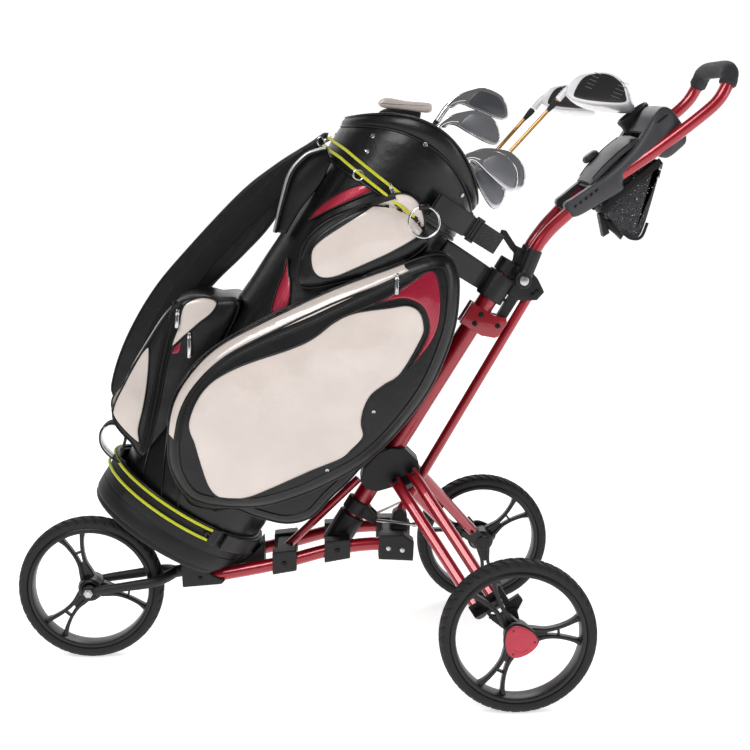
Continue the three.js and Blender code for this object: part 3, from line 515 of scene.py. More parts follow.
def lathe(profile, n=64, centre=(0, 0, 0), axis="Y", closed=False):
    """Turns (radius, distance along the axis) points; a closed profile makes a ring."""
    profile = np.array(profile, float)
    turn = turns(n)
    verts = []
    for r, h in profile:
        for t in turn:
            a, b = r * math.cos(t), r * math.sin(t)
            verts.append({"Y": (a, h, b), "Z": (a, b, h), "X": (h, a, b)}[axis])
    return np.array(verts) + np.array(centre, float), ring_faces(len(profile), n, closed)


def inset(outline, by):
    """The outline moved inwards by a distance, point by point."""
    p = np.array(outline, float)
    ahead, back = np.roll(p, -1, 0) - p, p - np.roll(p, 1, 0)
    ahead /= np.maximum(np.linalg.norm(ahead, axis=1), 1e-9)[:, None]
    back /= np.maximum(np.linalg.norm(back, axis=1), 1e-9)[:, None]
    t = ahead + back
    t /= np.maximum(np.linalg.norm(t, axis=1), 1e-9)[:, None]
    area = 0.5 * np.sum(p[:, 0] * np.roll(p[:, 1], -1) - np.roll(p[:, 0], -1) * p[:, 1])
    inward = np.column_stack([-t[:, 1], t[:, 0]]) * (1 if area > 0 else -1)
    lean = np.clip(np.sum(ahead * t, axis=1), 0.5, 1)[:, None]
    return p + inward * by / lean


def slab(outline, y0, y1, edge=2.0, steps=3):
    """An (x, z) outline made solid between two y values, with rounded edges."""
    outline = np.array(outline, float)
    rings = []
    for k in range(steps + 1):
        t = math.pi / 2 * k / steps
        rings.append((edge * (1 - math.sin(t)), y0 + edge * (1 - math.cos(t))))
    rings += [(i, y0 + y1 - y) for i, y in reversed(rings)]
    verts = []
    for by, y in rings:
        ring = inset(outline, by) if by > 1e-6 else outline
        verts += [(x, y, z) for x, z in ring]
    return np.array(verts), ring_faces(len(rings), len(outline))


def merged(*shapes):
    verts, faces, at = [], [], 0
    for v, f in shapes:
        verts.append(np.array(v, float))
        faces += [tuple(i + at for i in face) for face in f]
        at += len(v)
    return np.vstack(verts), faces


def moved(shape, by=(0, 0, 0), mirror_y=False, turn=None):
    """The shape shifted, or turned about +Y by degrees first, or mirrored across y = 0."""
    verts, faces = np.array(shape[0], float), shape[1]
    if turn:
        c, s = math.cos(math.radians(turn)), math.sin(math.radians(turn))
        x, z = verts[:, 0].copy(), verts[:, 2].copy()
        verts[:, 0], verts[:, 2] = x * c + z * s, -x * s + z * c
    verts = verts + np.array(by, float)
    if mirror_y:
        verts[:, 1] *= -1
        faces = [tuple(reversed(f)) for f in faces]
    return verts, faces


def piece(name, shape, place, material, body="root", replaces=(), flat=35):
    """Makes an object of a shape given in millimetres in a local frame, and attaches it."""
    verts, faces = shape
    mesh = bpy.data.meshes.new(name)
    mesh.from_pydata([tuple(v) for v in verts], [], faces)
    mesh.transform(place)
    bm = bmesh.new()
    bm.from_mesh(mesh)
    bmesh.ops.recalc_face_normals(bm, faces=bm.faces)
    bm.to_mesh(mesh)
    bm.free()
    obj = bpy.data.objects.new(name, mesh)
    bpy.context.scene.collection.objects.link(obj)
    obj.data.materials.append(M[material])
    shade_smooth(obj, flat)
    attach(obj, body)
    if replaces:
        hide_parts(*([replaces] if isinstance(replaces, str) else replaces))
    return obj


def on_bag(name, shape, material, flat=50, replaces=()):
    """A piece fixed to the bag, in the bag's own frame."""
    return piece(name, shape, BAG, material, "root", replaces, flat)


def shade_smooth(obj, angle):
    mesh = obj.data
    mesh.polygons.foreach_set("use_smooth", [True] * len(mesh.polygons))
    bm = bmesh.new()
    bm.from_mesh(mesh)
    limit = math.radians(angle)
    for edge in bm.edges:
        edge.smooth = len(edge.link_faces) == 2 and edge.calc_face_angle(0) < limit
    bm.to_mesh(mesh)
    bm.free()


def baked(obj):
    """Applies the object's modifiers to its mesh."""
    graph = bpy.context.evaluated_depsgraph_get()
    mesh = bpy.data.meshes.new_from_object(obj.evaluated_get(graph))
    obj.modifiers.clear()
    old = obj.data
    obj.data = mesh
    bpy.data.meshes.remove(old)
    return obj


def casting(node, material, body="root", voxel=1.6, rounds=5):
    """A moulding with soft edges, remeshed from the node's own shape."""
    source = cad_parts[node]
    mesh = source.data.copy()
    mesh.name = f"{node}_moulding"
    mesh.materials.clear()
    bm = bmesh.new()
    bm.from_mesh(mesh)
    bmesh.ops.remove_doubles(bm, verts=bm.verts, dist=1e-6)
    bm.to_mesh(mesh)
    bm.free()
    obj = bpy.data.objects.new(mesh.name, mesh)
    bpy.context.scene.collection.objects.link(obj)
    remesh = obj.modifiers.new("voxels", "REMESH")
    remesh.mode = "VOXEL"
    remesh.voxel_size = voxel * MM
    soften = obj.modifiers.new("soften", "SMOOTH")
    soften.factor = 0.5
    soften.iterations = rounds
    baked(obj)
    obj.data.materials.clear()
    obj.data.materials.append(M[material])
    obj.data.polygons.foreach_set("use_smooth", [True] * len(obj.data.polygons))
    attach(obj, body)
    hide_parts(node)
    return obj


# ---------------------------------------------------------------- fasteners


def bolt_head(at, direction, r=5.0, height=3.5, recess=True):
    """A round button head with a socket, on a face that looks along direction."""
    profile = [(0.01, 0), (r, 0), (r, height * 0.45), (r * 0.85, height * 0.85), (r * 0.6, height)]
    if recess:
        profile += [(r * 0.42, height), (r * 0.4, height * 0.35), (0.01, height * 0.35)]
    else:
        profile += [(0.01, height * 1.04)]
    return moved(facing(lathe(profile, 18, axis="Z"), direction), at)


def hex_head(at, direction, r=8.0, height=5.0):
    profile = [
        (0.01, 0), (r * 1.25, 0), (r * 1.25, 1.2), (r, 1.3), (r, height - 1), (r * 0.86, height),
        (0.01, height),
    ]
    return moved(facing(lathe(profile, 6, axis="Z"), direction), at)


# ---------------------------------------------------------------- wheels

TREAD_PITCHES = 46


def tyre_shape():
    """Ring with chevron blocks cut into its tread."""
    profile = curve(
        [
            (129, -15), (130, -19.5), (133, -21.3), (134.2, -20.6),
            (136, -22), (141, -21.4), (145, -18.5),
            (147.4, -14), (148.6, -8), (149, 0), (148.6, 8), (147.4, 14), (145, 18.5), (141, 21.4),
            (136, 22), (134.2, 20.6), (133, 21.3), (130, 19.5), (129, 15), (128.6, 0),
        ],
        52,
        closed=True,
    )
    around = TREAD_PITCHES * 10
    verts = []
    for i in range(around):
        angle = 2 * math.pi * i / around
        for r, w in profile:
            verts.append((angle, r, w))
    verts = np.array(verts)
    angle, r, w = verts.T
    phase = angle / (2 * math.pi) * TREAD_PITCHES + 0.9 * np.abs(w) / 20
    local = phase - np.floor(phase)
    groove = np.clip((0.17 - np.abs(local - 0.5)) / 0.06, 0, 1)
    centre = np.clip((2.2 - np.abs(w)) / 1.0, 0, 1)
    outer = np.clip((r - 141.5) / 2.0, 0, 1)
    shoulder = np.clip((np.abs(w) - 3) / 2, 0, 1)
    depth = 3.2 * outer * np.maximum(groove * shoulder, centre * 0.8)
    r = r - depth
    ring = np.column_stack([r * np.cos(angle), w, r * np.sin(angle)])
    return ring, ring_faces(around, len(profile), closed=True)


def spoke_member(side):
    """One curved half of a split spoke along +X."""
    path = curve(
        [
            (22, 0, 10.5), (36, 0, 8.5), (50, 0, 6.6), (64, 0, 7.2), (80, 0, 10.2), (96, 0, 15),
            (110, 0, 21), (120, 0, 27),
        ],
        30,
    )
    path[:, 2] *= side
    widths = np.interp(np.arange(30), [0, 8, 16, 24, 29], [1.35, 1.0, 0.85, 1.0, 1.5])
    depths = np.interp(np.arange(30), [0, 10, 22, 29], [1.25, 1.0, 0.95, 1.25])
    scale = np.column_stack([widths, depths])
    return sweep(path, rounded_box(8, 17, 2.6), scale=scale)


def rim_shape(first_spoke, outer_plate):
    lips = [
        (129, -17.5), (126, -19.5), (122, -20), (119.2, -18.6), (118, -15), (117.2, -6), (117.0, 0),
        (117.2, 6), (118, 15), (119.2, 18.6), (122, 20), (126, 19.5), (129, 17.5), (128.9, 0),
    ]
    shapes = [lathe(lips, 120, closed=True)]
    hub = [
        (8, -30), (20, -30), (22.5, -28), (24, -24), (24, -15), (27, -9), (27, 9), (24, 15), (24, 24),
        (22.5, 28), (20, 30), (8, 30),
    ]
    shapes.append(lathe(hub, 48, closed=True))
    web = slab(
        [(20, -14), (36, -11.5), (53, -6), (55.5, 0), (53, 6), (36, 11.5), (20, 14)], -6.5, 6.5, 2.5,
    )
    bridge = slab([(75, -10), (79, -10), (79, 10), (75, 10)], -6, 6, 1.2)
    for k in range(3):
        for part in (spoke_member(1), spoke_member(-1), web, bridge):
            shapes.append(moved(part, turn=-(first_spoke + 120 * k)))
    if outer_plate:
        shapes.append(trefoil(36.5, outer_plate * 20, outer_plate * 30, 3))
    return merged(*shapes)


def trefoil(corner, y0, y1, edge, turn=0):
    """A triangle with bulging sides and round corners, between two y values."""
    outline = []
    for k in range(96):
        angle = 2 * math.pi * k / 96
        bulge = 0.5 + 0.5 * math.cos(3 * (angle - math.radians(turn)))
        r = corner * (0.84 + 0.16 * bulge**1.4)
        outline.append((r * math.cos(angle), r * math.sin(angle)))
    low, high = min(y0, y1), max(y0, y1)
    return slab(outline, low, high, edge)


def add_wheel(name, x, y, first_spoke, body):
    place = CART @ Matrix.Translation((x, y, WHEEL_R))
    side = int(np.sign(y))
    piece(f"{name}_tyre_tread", tyre_shape(), place, "tyre", body, f"{name}_tyre", 28)
    piece(
        f"{name}_rim_spokes", rim_shape(first_spoke, side), place, "rim", body, f"{name}_rim",
        40,
    )
    if side:
        add_hub_cap(name, place, side, body)
    else:
        for s in (-1, 1):
            boss = lathe(
                [(0.01, s * 30), (17, s * 30), (18, s * 28.5), (18, s * 25), (0.01, s * 25)], 40,
            )
            piece(
                f"{name}_hub_boss_{'left' if s < 0 else 'right'}", boss, place, "rim", body, (),
            )


def add_hub_cap(name, place, side, body):
    face = side * 38.0
    cap = trefoil(33, side * 31, face, 2.2)
    step = lathe(
        [
            (17.5, face - side * 0.3), (18.4, face + side * 0.2), (20, face + side * 0.35),
            (20.8, face - side * 0.3),
        ],
        60, closed=True,
    )
    piece(f"{name}_hub_cap_shell", merged(cap, step), place, "cap", body, f"{name}_hub_cap")
    screws = []
    for k in range(3):
        angle = math.radians(120 * k)
        at = (26.5 * math.cos(angle), face - side * 1.1, 26.5 * math.sin(angle))
        screws.append(bolt_head(at, (0, side, 0), 2.6, 1.4))
    piece(f"{name}_cap_screws", merged(*screws), place, "bolt", body, ())


def add_wheels():
    add_wheel("front", -AXLE_X, 0, 109, "front_wheel")
    add_wheel("left_rear", AXLE_X, -TRACK_Y, 5, "left_wheel")
    add_wheel("right_rear", AXLE_X, TRACK_Y, 39, "right_wheel")


# ---------------------------------------------------------------- base frame and fork

RAIL_PATH = [(-206, 184), (-49, 212), (60, 240), (112, 250), (172, 254), (230, 247)]


def add_fork():
    y = 40
    side = [(-AXLE_X + 6, y, WHEEL_R + 1), (-380, y, 156), (-330, y, 163), (-282, y * 0.95, 171)]
    left = [(a, -b, c) for a, b, c in side]
    path = curve([*left, (-250, 0, 179), *reversed(side)], 80)
    t = np.abs(np.linspace(-1, 1, 80))
    swell = np.column_stack([np.full(80, 1.0) - 0.12 * t, 1.35 - 0.35 * t])
    arms = sweep(path, circle(8.6, 24), scale=swell, up=(0, 0, 1))
    eye = [(7, -9), (12.4, -9), (14, -7.4), (14, 7.4), (12.4, 9), (7, 9)]
    eyes = [lathe(eye, 40, (-AXLE_X, s * y, WHEEL_R), closed=True) for s in (-1, 1)]
    stem = tube([(-258, 0, 177), (-236, 0, 181), (-212, 0, 185)], 12.6, 12, 28)
    collar = tube([(-236, 0, 181), (-226, 0, 182.7)], 14.6, 6, 28)
    piece(
        "fork_arms", merged(arms, *eyes, stem, collar), CART, "black", "root", "front_fork",
    )
    heads = [hex_head((-AXLE_X, s * 49.6, WHEEL_R), (0, s, 0), 7.5, 5.4) for s in (-1, 1)]
    pin = tube([(-AXLE_X, -49, WHEEL_R), (-AXLE_X, 49, WHEEL_R)], 6.3, 4, 20, up=(0, 0, 1))
    piece("front_axle_bolt", merged(pin, *heads), CART, "steel", "root", "front_axle", 30)


def add_rails():
    for side, name in ((-1, "left"), (1, "right")):
        path = [(x, side * RAIL_Y, z) for x, z in RAIL_PATH]
        bar = tube(path, 13.4, 60, 36)
        plugs = [end_plug(path[0], path[1], 13.6), end_plug(path[-1], path[-2], 13.6)]
        piece(f"{name}_rail_tube", bar, CART, "red", "root", f"{name}_rail")
        piece(f"{name}_rail_plugs", merged(*plugs), CART, "black", "root", ())


def end_plug(end, inner, r, reach=3.0):
    """Plastic plug in a tube's end: a domed disc just outside it."""
    end, inner = np.array(end, float), np.array(inner, float)
    out = (end - inner) / np.linalg.norm(end - inner)
    profile = [
        (0.01, -2), (r * 0.9, -2), (r, -1), (r, reach * 0.4), (r * 0.8, reach * 0.9), (0.01, reach),
    ]
    return moved(facing(lathe(profile, 28, axis="Z"), out), end)


def straight(a, b, r, sides=28, steps=3):
    a, b = np.array(a, float), np.array(b, float)
    path = np.array([a + (b - a) * t for t in np.linspace(0, 1, steps)])
    up = (0, 1, 0) if abs((b - a)[1]) < 0.8 * np.linalg.norm(b - a) else (0, 0, 1)
    return sweep(path, circle(r, sides), up=up)


def add_base_mouldings():
    for node in (
        "front_bracket", "mid_clamp", "column_knuckle", "rail_end_bracket", "stretcher_collar",
    ):
        casting(node, "black", "root")
    bolts = []
    for side in (-1, 1):
        y = side * 83
        for x, z in ((-21, 220), (86, 246)):
            bolts.append(bolt_head((x, y, z), (0, side, 0), 5.2, 3.6))
        for x, z in ((-190, 192), (-176, 203)):
            bolts.append(bolt_head((x, side * 84, z), (0, side, 0), 4.2, 3.0))
    piece("base_bolts", merged(*bolts), CART, "bolt", "root", ())
    rivets = []
    for side in (-1, 1):
        for x, z in ((189, 250), (217, 246)):
            rivets.append(bolt_head((x, side * 83, z), (0, side, 0), 5.6, 3.0, recess=False))
    piece("rail_end_rivets", merged(*rivets), CART, "steel", "root", ())


def add_column():
    grooved = circle(20, 48)
    for k in (0, 24):
        for shift in (-1, 0, 1):
            grooved[(k + shift) % 48] *= 0.955
    bar = sweep(np.array([(0, 0, z) for z in np.linspace(6, 662, 12)]), grooved)
    outline = [(-27, 512), (24, 512), (50, 522), (55, 528), (56, 560), (49, 568), (24, 560), (-27, 560)]
    cheeks = [slab(outline, s * 21 - 6, s * 21 + 6, 2.0) for s in (-1, 1)]
    piece("column_bar", merged(bar, *cheeks), COLUMN, "red", "root", "column_tube")
    bolts = [
        bolt_head((x, s * 27, z), (0, s, 0), 5.4, 3.6) for s in (-1, 1) for x,
        z in ((0, 526), (2, 548), (42, 546))
    ]
    piece("column_bolts", merged(*bolts), COLUMN, "bolt", "root", ())
    piece(
        "strut_bar", straight((-16, 0, 232), (131, 0, 374), 8.4), CART, "red", "root",
        "diagonal_strut",
    )
    piece(
        "brace_bar", straight((213, 0, 297), (474, 0, 749), 9.9, 32, 8), CART, "red", "root",
        "brace_rod",
    )


def add_head_mouldings():
    for node in ("upper_cradle", "handle_clamp", "leg_hub"):
        casting(node, "black", "root")
    casting("clamp_lever", "black", "clamp_lever", voxel=1.0)
    casting("handle_yoke", "black", "handle")
    x, _, z = HANDLE_PIVOT
    bolts = [bolt_head((x, s * 55.5, z), (0, s, 0), 10, 5.5, recess=False) for s in (-1, 1)]
    piece("handle_bolt_heads", merged(*bolts), CART, "steel", "root", ())
    small = [
        bolt_head((px, s * 15, pz), (0, s, 0), 4.2, 2.6) for s in (-1, 1) for px,
        pz in ((74, 646), (70, 636))
    ]
    small += [bolt_head((29, s * 5, pz), (1, 0, 0), 3.6, 2.0) for s in (-1, 1) for pz in (596, 612)]
    piece("clamp_bolts", merged(*small), COLUMN, "bolt", "root", ())


# ---------------------------------------------------------------- rear legs

LEG_HIP = np.array((208, -50, 375), float)
LEG_SPAN = np.array((149, -195, -203), float)
LEG_PAIR = np.array((32, 0, 19), float)


def mirrored(v, side):
    return np.array(v, float) * (1, -1 if side > 0 else 1, 1)


def leg_section():
    """Oval leg tube with a groove down each broad side."""
    ring = circle(12, 40)
    for k in (10, 30):
        for shift, depth in ((-2, 0.97), (-1, 0.92), (0, 0.9), (1, 0.92), (2, 0.97)):
            ring[(k + shift) % 40] *= depth
    return ring


def leg_tubes(side, word, pins):
    along = LEG_SPAN / np.linalg.norm(LEG_SPAN)
    for hip, part in ((LEG_HIP, "lower_leg"), (LEG_HIP + LEG_PAIR, "upper_leg")):
        a, b = hip - along * 8, hip + LEG_SPAN + along * 8
        path = [mirrored(a + (b - a) * t, side) for t in np.linspace(0, 1, 8)]
        bar = sweep(path, leg_section(), up=mirrored(pins, side))
        piece(f"{word}_{part}_bar", bar, CART, "red", f"{word}_{part}", f"{word}_{part}")
        plugs = [end_plug(path[0], path[1], 11.9), end_plug(path[-1], path[-2], 11.9)]
        piece(f"{word}_{part}_plugs", merged(*plugs), CART, "black", f"{word}_{part}", ())


def stretcher(side, word):
    """Thin rod from the collar on the column to the lower leg, with a knob at its end."""
    root = mirrored((168, -27, 292), side)
    end = mirrored(LEG_HIP + 0.34 * LEG_SPAN, side)
    reach = (end - root) / np.linalg.norm(end - root)
    tip = end - reach * 21
    rod = merged(straight(root, tip, 3.1, 20, 6), straight(tip - reach * 9, tip, 4.6, 20))
    name = f"{word}_stretcher"
    piece(f"{name}_rod", rod, CART, "steel", name, name)


def leg_bolts(side, word, pins):
    outward = mirrored(-pins if pins[1] > 0 else pins, side)
    rows = (
        ("hip", LEG_HIP, "root", 15.5, 6.2, 4.0),
        ("foot", LEG_HIP + LEG_SPAN, f"{word}_bracket", 20.5, 5.4, 3.4),
    )
    for label, lower, body, out, r, height in rows:
        heads = []
        for at in (lower, lower + LEG_PAIR):
            heads.append(bolt_head(mirrored(at, side) + outward * out, outward, r, height))
        piece(f"{word}_{label}_bolts", merged(*heads), CART, "bolt", body, ())


def add_legs():
    pins = np.cross(LEG_PAIR, LEG_SPAN)
    pins /= np.linalg.norm(pins)
    for side, word in ((-1, "left"), (1, "right")):
        leg_tubes(side, word, pins)
        casting(f"{word}_wheel_bracket", "black", f"{word}_bracket", voxel=1.3, rounds=3)
        stretcher(side, word)
        leg_bolts(side, word, pins)
    casting("brake_pedal", "black", "brake", voxel=0.9, rounds=3)


# ---------------------------------------------------------------- soft surfaces of the bag


def settle(u, s):
    """Slow dents of a stuffed cover, in millimetres."""
    u, s = np.asarray(u, float), np.asarray(s, float)
    long_waves = np.sin(u / 33 + 0.8 * np.sin(s / 61)) + 0.8 * np.sin(s / 47 + u / 71 + 1.3)
    return 0.9 * long_waves + 0.5 * np.sin(s / 17 + 2 * np.sin(u / 39))


def away(points, outline):
    """Distance of each (u, s) point from a closed outline."""
    p = np.asarray(points, float)[:, None, :]
    a = np.asarray(outline, float)[None, :, :]
    ab = np.roll(a, -1, 1) - a
    t = np.clip(np.sum((p - a) * ab, 2) / np.maximum(np.sum(ab * ab, 2), 1e-9), 0, 1)
    return np.sqrt(np.min(np.sum((p - a - ab * t[..., None]) ** 2, 2), 1))


def inside(points, outline):
    p, q = np.asarray(points, float), np.asarray(outline, float)
    found = np.zeros(len(p), bool)
    for a, b in zip(q, np.roll(q, -1, 0)):
        crosses = (a[1] > p[:, 1]) != (b[1] > p[:, 1])
        dy = b[1] - a[1] if abs(b[1] - a[1]) > 1e-9 else 1e-9
        found ^= crosses & (p[:, 0] < (b[0] - a[0]) * (p[:, 1] - a[1]) / dy + a[0])
    return found


def filled(outline, spacing=8.0, rings=(1.5, 4, 8, 14, 22)):
    """Triangles over an outline: its own points, rings that follow it, and an even grid inside."""
    outline = np.asarray(outline, float)
    points = [outline]
    for by in rings:
        ring = inset(outline, by)
        keep = inside(ring, outline)
        ring = ring[keep]
        if len(ring):
            points.append(ring[away(ring, outline) > by * 0.8])
    low, high = outline.min(0), outline.max(0)
    grid = np.stack(
        np.meshgrid(np.arange(low[0], high[0], spacing), np.arange(low[1], high[1], spacing)), -1,
    )
    grid = grid.reshape(-1, 2)
    grid = grid[inside(grid, outline)]
    if len(grid):
        grid = grid[away(grid, outline) > (rings[-1] if rings else 0) + spacing * 0.4]
        points.append(grid)
    flat = np.vstack(points)
    edge = list(range(len(outline)))
    result = delaunay_2d_cdt([Vector(p) for p in flat], [], [edge], 1, 1e-5)
    return np.array([tuple(v) for v in result[0]]), [tuple(f) for f in result[2]]


def joined(top, low, faces, edge):
    """Closed shell of two matching sheets, walled along the points of their edge."""
    at = len(top)
    under = [tuple(i + at for i in reversed(f)) for f in faces]
    wall = [(a, b, b + at, a + at) for a, b in zip(edge, edge[1:] + edge[:1])]
    return np.vstack([top, low]), list(faces) + under + wall


class Pad:
    """A padded pocket on one side of the bag: an outline, a wall round it, and a crowned face."""

    def __init__(self, outline, base, wall, face, radius, divisions=150, tuck=7):
        self.outline = curve(outline, divisions, closed=True)
        self.base, self.wall, self.face, self.radius, self.tuck = base, wall, face, radius, tuck

    def height(self, points):
        points = np.asarray(points, float)
        d = away(points, self.outline)
        t = np.clip(d / self.radius, 0, 1)
        crown = 1 - np.exp(-np.maximum(d - self.radius, 0) / 60)
        rise = 0.86 * np.sqrt(1 - (1 - t) ** 2) + 0.14 * crown
        return self.wall + (self.face - self.wall) * rise + settle(*points.T) * np.clip(d / 30, 0, 1)

    def shape(self, side):
        flat, faces = filled(self.outline, 9, (1, 2.5, 5, 9, 14, 20, 28))
        top = np.column_stack([flat[:, 0], self.height(flat), flat[:, 1]])
        walls = []
        for by, share in ((self.tuck, 0), (self.tuck * 0.35, 0.16), (0.6, 0.4), (-0.6, 0.7), (0, 1)):
            ring = inset(self.outline, by)
            y = self.base + (self.wall - self.base) * share
            walls += [(u, y, s) for u, s in ring]
        wall = (np.array(walls), ring_faces(5, len(self.outline), caps=False))
        parts = [(top, faces), wall]
        if self.base:
            parts.append((np.array(walls[: len(self.outline)]), [tuple(range(len(self.outline)))]))
        return moved(merged(*parts), mirror_y=side < 0)

    def patch(self, outline, side, lift=1.6, puff=2.0, divisions=110, smooth=True, edge=3.0):
        """A sewn-on panel: it follows the pad's face and swells between its seams."""
        line = curve(outline, divisions, closed=True) if smooth else np.asarray(outline, float)
        flat, faces = filled(line, 9, (1, 2.5, 5, 9, 15))
        d = away(flat, line)
        rise = lift * np.sqrt(np.clip(d / edge, 0, 1)) + puff * (1 - np.exp(-d / 28))
        y = self.height(flat) + rise - 0.6
        top = np.column_stack([flat[:, 0], y, flat[:, 1]])
        low = np.column_stack([flat[:, 0], self.height(flat) - 2.5, flat[:, 1]])
        return moved(joined(top, low, faces, closest(line, flat)), mirror_y=side < 0)

    def line(
        self, points, r, side, lift=1.0, steps=90, closed=False, smooth=True, sides=10, squash=1.0,
    ):
        """A cord of piping, or a flat tape, laid along the face."""
        flat = curve(points, steps, closed) if smooth else np.asarray(points, float)
        y = self.height(flat) + lift
        path = np.column_stack([flat[:, 0], y, flat[:, 1]])
        shape = sweep(path, circle(r, sides, squash), closed, up=(0, 1, 0))
        return moved(shape, mirror_y=side < 0)


class BodySide(Pad):
    """The bag's own side wall, as a surface that panels and cords can lie on."""

    def __init__(self, lift, pads):
        self.lift, self.pads = lift, pads

    def height(self, points):
        u, s = np.asarray(points, float).T
        grow = (s - 63) / 785
        a, b = 138 + 6 * grow, 136 + 4 * grow
        middle = s * math.tan(math.radians(0.5))
        across = np.clip((u - middle) / a, -0.995, 0.995)
        y = b * np.sqrt(1 - across**2) + self.lift
        for pad in self.pads:
            within = inside(np.asarray(points, float), pad.outline)
            if within.any():
                y[within] = np.maximum(y[within], pad.height(np.asarray(points, float)[within]))
        return y


def closest(points, among):
    return [int(np.argmin(np.sum((among - p) ** 2, 1))) for p in np.asarray(points, float)]


def from_sn(*pairs):
    """Outline points given as (height up the bag, distance out from its axis on the front)."""
    return [(-n, s) for s, n in pairs]


LOWER = [
    (5, 132), (-60, 150), (-105, 200), (-138, 275), (-140, 350),
    (-120, 425), (-60, 530), (0, 625), (60, 705),
    (130, 790), (178, 786), (222, 724), (248, 656), (264, 560),
    (258, 460), (240, 380), (206, 310), (160, 240),
    (100, 180),
]
UPPER = [
    (-50, 592), (-84, 640), (-90, 690), (-71, 740), (-30, 792), (30, 820), (80, 814), (108, 796),
    (90, 740), (20, 650),
]
LARGE_PANEL = from_sn(
    (264, 94), (334, 103), (399, 76), (493, 4), (532, -19),
    (576, -35), (612, -58), (655, -107), (678, -135),
    (680, -160), (664, -181), (640, -192), (562, -196),
    (525, -181), (494, -171), (463, -175), (439, -186),
    (419, -203), (385, -198), (358, -190), (305, -153), (229, -103), (198, -80), (175, -53), (168, -28),
    (177, -3), (202, 28), (231, 60),
)
BAND_TOP = from_sn(
    (218, 114), (246, 130), (284, 142), (338, 146), (391, 135), (454, 108), (520, 72), (571, 38),
    (636, -9), (702, -56), (743, -87),
)
BAND_LOW = from_sn(
    (218, 99), (265, 117), (315, 123), (375, 114), (426, 93), (489, 55), (557, 9), (632, -38),
    (733, -102),
)
CARBON = from_sn(
    (603, -51), (666, -92), (709, -113), (752, -132),
    (754, -150), (719, -183), (678, -205), (643, -212),
    (606, -209), (574, -203), (610, -203), (648, -198),
    (670, -187), (687, -166), (690, -144), (682, -120),
    (657, -93), (630, -69),
)
UPPER_PANEL = from_sn(
    (655, 68), (676, 72), (707, 62), (750, 42), (792, 22),
    (833, 1), (850, -20), (850, -46), (832, -72), (810, -86),
    (787, -80), (738, -54), (682, -18), (646, 7), (630, 29), (634, 50),
)
UPPER_CARBON = from_sn(
    (706, 106), (737, 102), (768, 91), (798, 75), (826, 51), (843, 28),
    (836, 20), (810, 40), (776, 62), (743, 83), (714, 99),
)
MID_CARBON = from_sn(
    (622, 101), (596, 92), (568, 87), (541, 80), (520, 70), (542, 52), (562, 56), (588, 72), (600, 84),
)
GUSSET = from_sn(
    (150, 60), (120, 30), (108, 0), (124, -40), (152, -76),
    (162, -121), (182, -177), (220, -213), (275, -224),
    (340, -238), (420, -240), (400, -150), (260, -60), (190, 20),
)


UPPER_PULL_Y = 152.0  # distance from the bag's middle to the pull at the upper pocket's top


def zip_along(pad, points, side, steps=150):
    """The zip's tape, and its two rows of coil teeth."""
    tape = pad.line(points, 6.5, side, 0.8, steps, squash=0.22)
    coils = [pad.line(offset_line(points, k), 1.1, side, 2.4, steps, sides=8) for k in (-1.1, 1.1)]
    return tape, merged(*coils)


def offset_line(points, by):
    line = curve(points, 60)
    t = np.gradient(line, axis=0)
    t /= np.linalg.norm(t, axis=1)[:, None]
    return line + np.column_stack([-t[:, 1], t[:, 0]]) * by


def zip_pull(at, y, along, side, length=24):
    """Slider body with its ring and a flat pierced tab, lying on a face at height y."""
    u, s = at
    angle = math.degrees(math.atan2(along[0], along[1]))
    body = slab([(-4, -6), (4, -6), (3.2, 6), (-3.2, 6)], 0, 5, 1.4)
    bridge = tube([(0, 4, -4), (0, 8, -2), (0, 8, 3), (0, 4, 5)], 1.1, 12, 8, up=(1, 0, 0))
    tab = slab(rounded_box(7, length, 3), 5, 6.8, 0.6)
    tab = moved(tab, (0, 0.6, -length / 2 - 4))
    hole = lathe(
        [(1.2, 6.6), (2.2, 6.6), (2.2, 7.8), (1.2, 7.8)], 14, (0, 0, -length - 0.5), closed=True,
    )
    pull = moved(merged(body, bridge, tab, hole), turn=angle)
    return moved(pull, (u, y, s), mirror_y=side < 0)


def snap(at, y, side, r=5.5):
    u, s = at
    ring = lathe(
        [(r * 0.45, 0), (r, 0), (r, 1.2), (r * 0.8, 2.2), (r * 0.5, 2.0), (r * 0.42, 0.8)], 24,
        closed=True,
    )
    dome = lathe([(0.01, 0.2), (r * 0.42, 0.2), (r * 0.3, 1.3), (0.01, 1.5)], 16)
    return moved(merged(ring, dome), (u, y, s), mirror_y=side < 0)


def add_side_pockets():
    lower = Pad(LOWER, 84, 150, 187, 36)
    upper = Pad(UPPER, 84, 136, 163, 26)
    for side, word in ((-1, "left"), (1, "right")):
        add_garment_pocket(lower, side, word)
        add_upper_pocket(upper, side, word)
        add_gusset(side, word)
        add_carbon_slivers(lower, side, word)


def add_gusset(side, word):
    """Soft lower gusset that sags below the garment pocket, with two rows of piping."""
    pad = Pad(GUSSET, 84, 128, 156, 34)
    body = on_bag(f"{word}_gusset", pad.shape(side), "leather")
    weld(body)
    rows = [pad.line(inset(pad.outline, by), 2.2, side, 0.4, 200, closed=True) for by in (3, 20)]
    on_bag(f"{word}_gusset_piping", merged(*rows), "leather", 60)


def add_carbon_slivers(lower, side, word):
    """The red flashes on the bag's side, ahead of the upper pocket and above the band."""
    wall = BodySide(2.0, (lower,))
    patches = [wall.patch(outline, side, lift=1.4, puff=1.0) for outline in (UPPER_CARBON, MID_CARBON)]
    on_bag(f"{word}_carbon_slivers", merged(*patches), "carbon")
    cords = [
        wall.line(outline, 1.7, side, 1.4, 110, closed=True) for outline in (UPPER_CARBON, MID_CARBON)
    ]
    on_bag(f"{word}_carbon_piping", merged(*cords), "leather", 60)


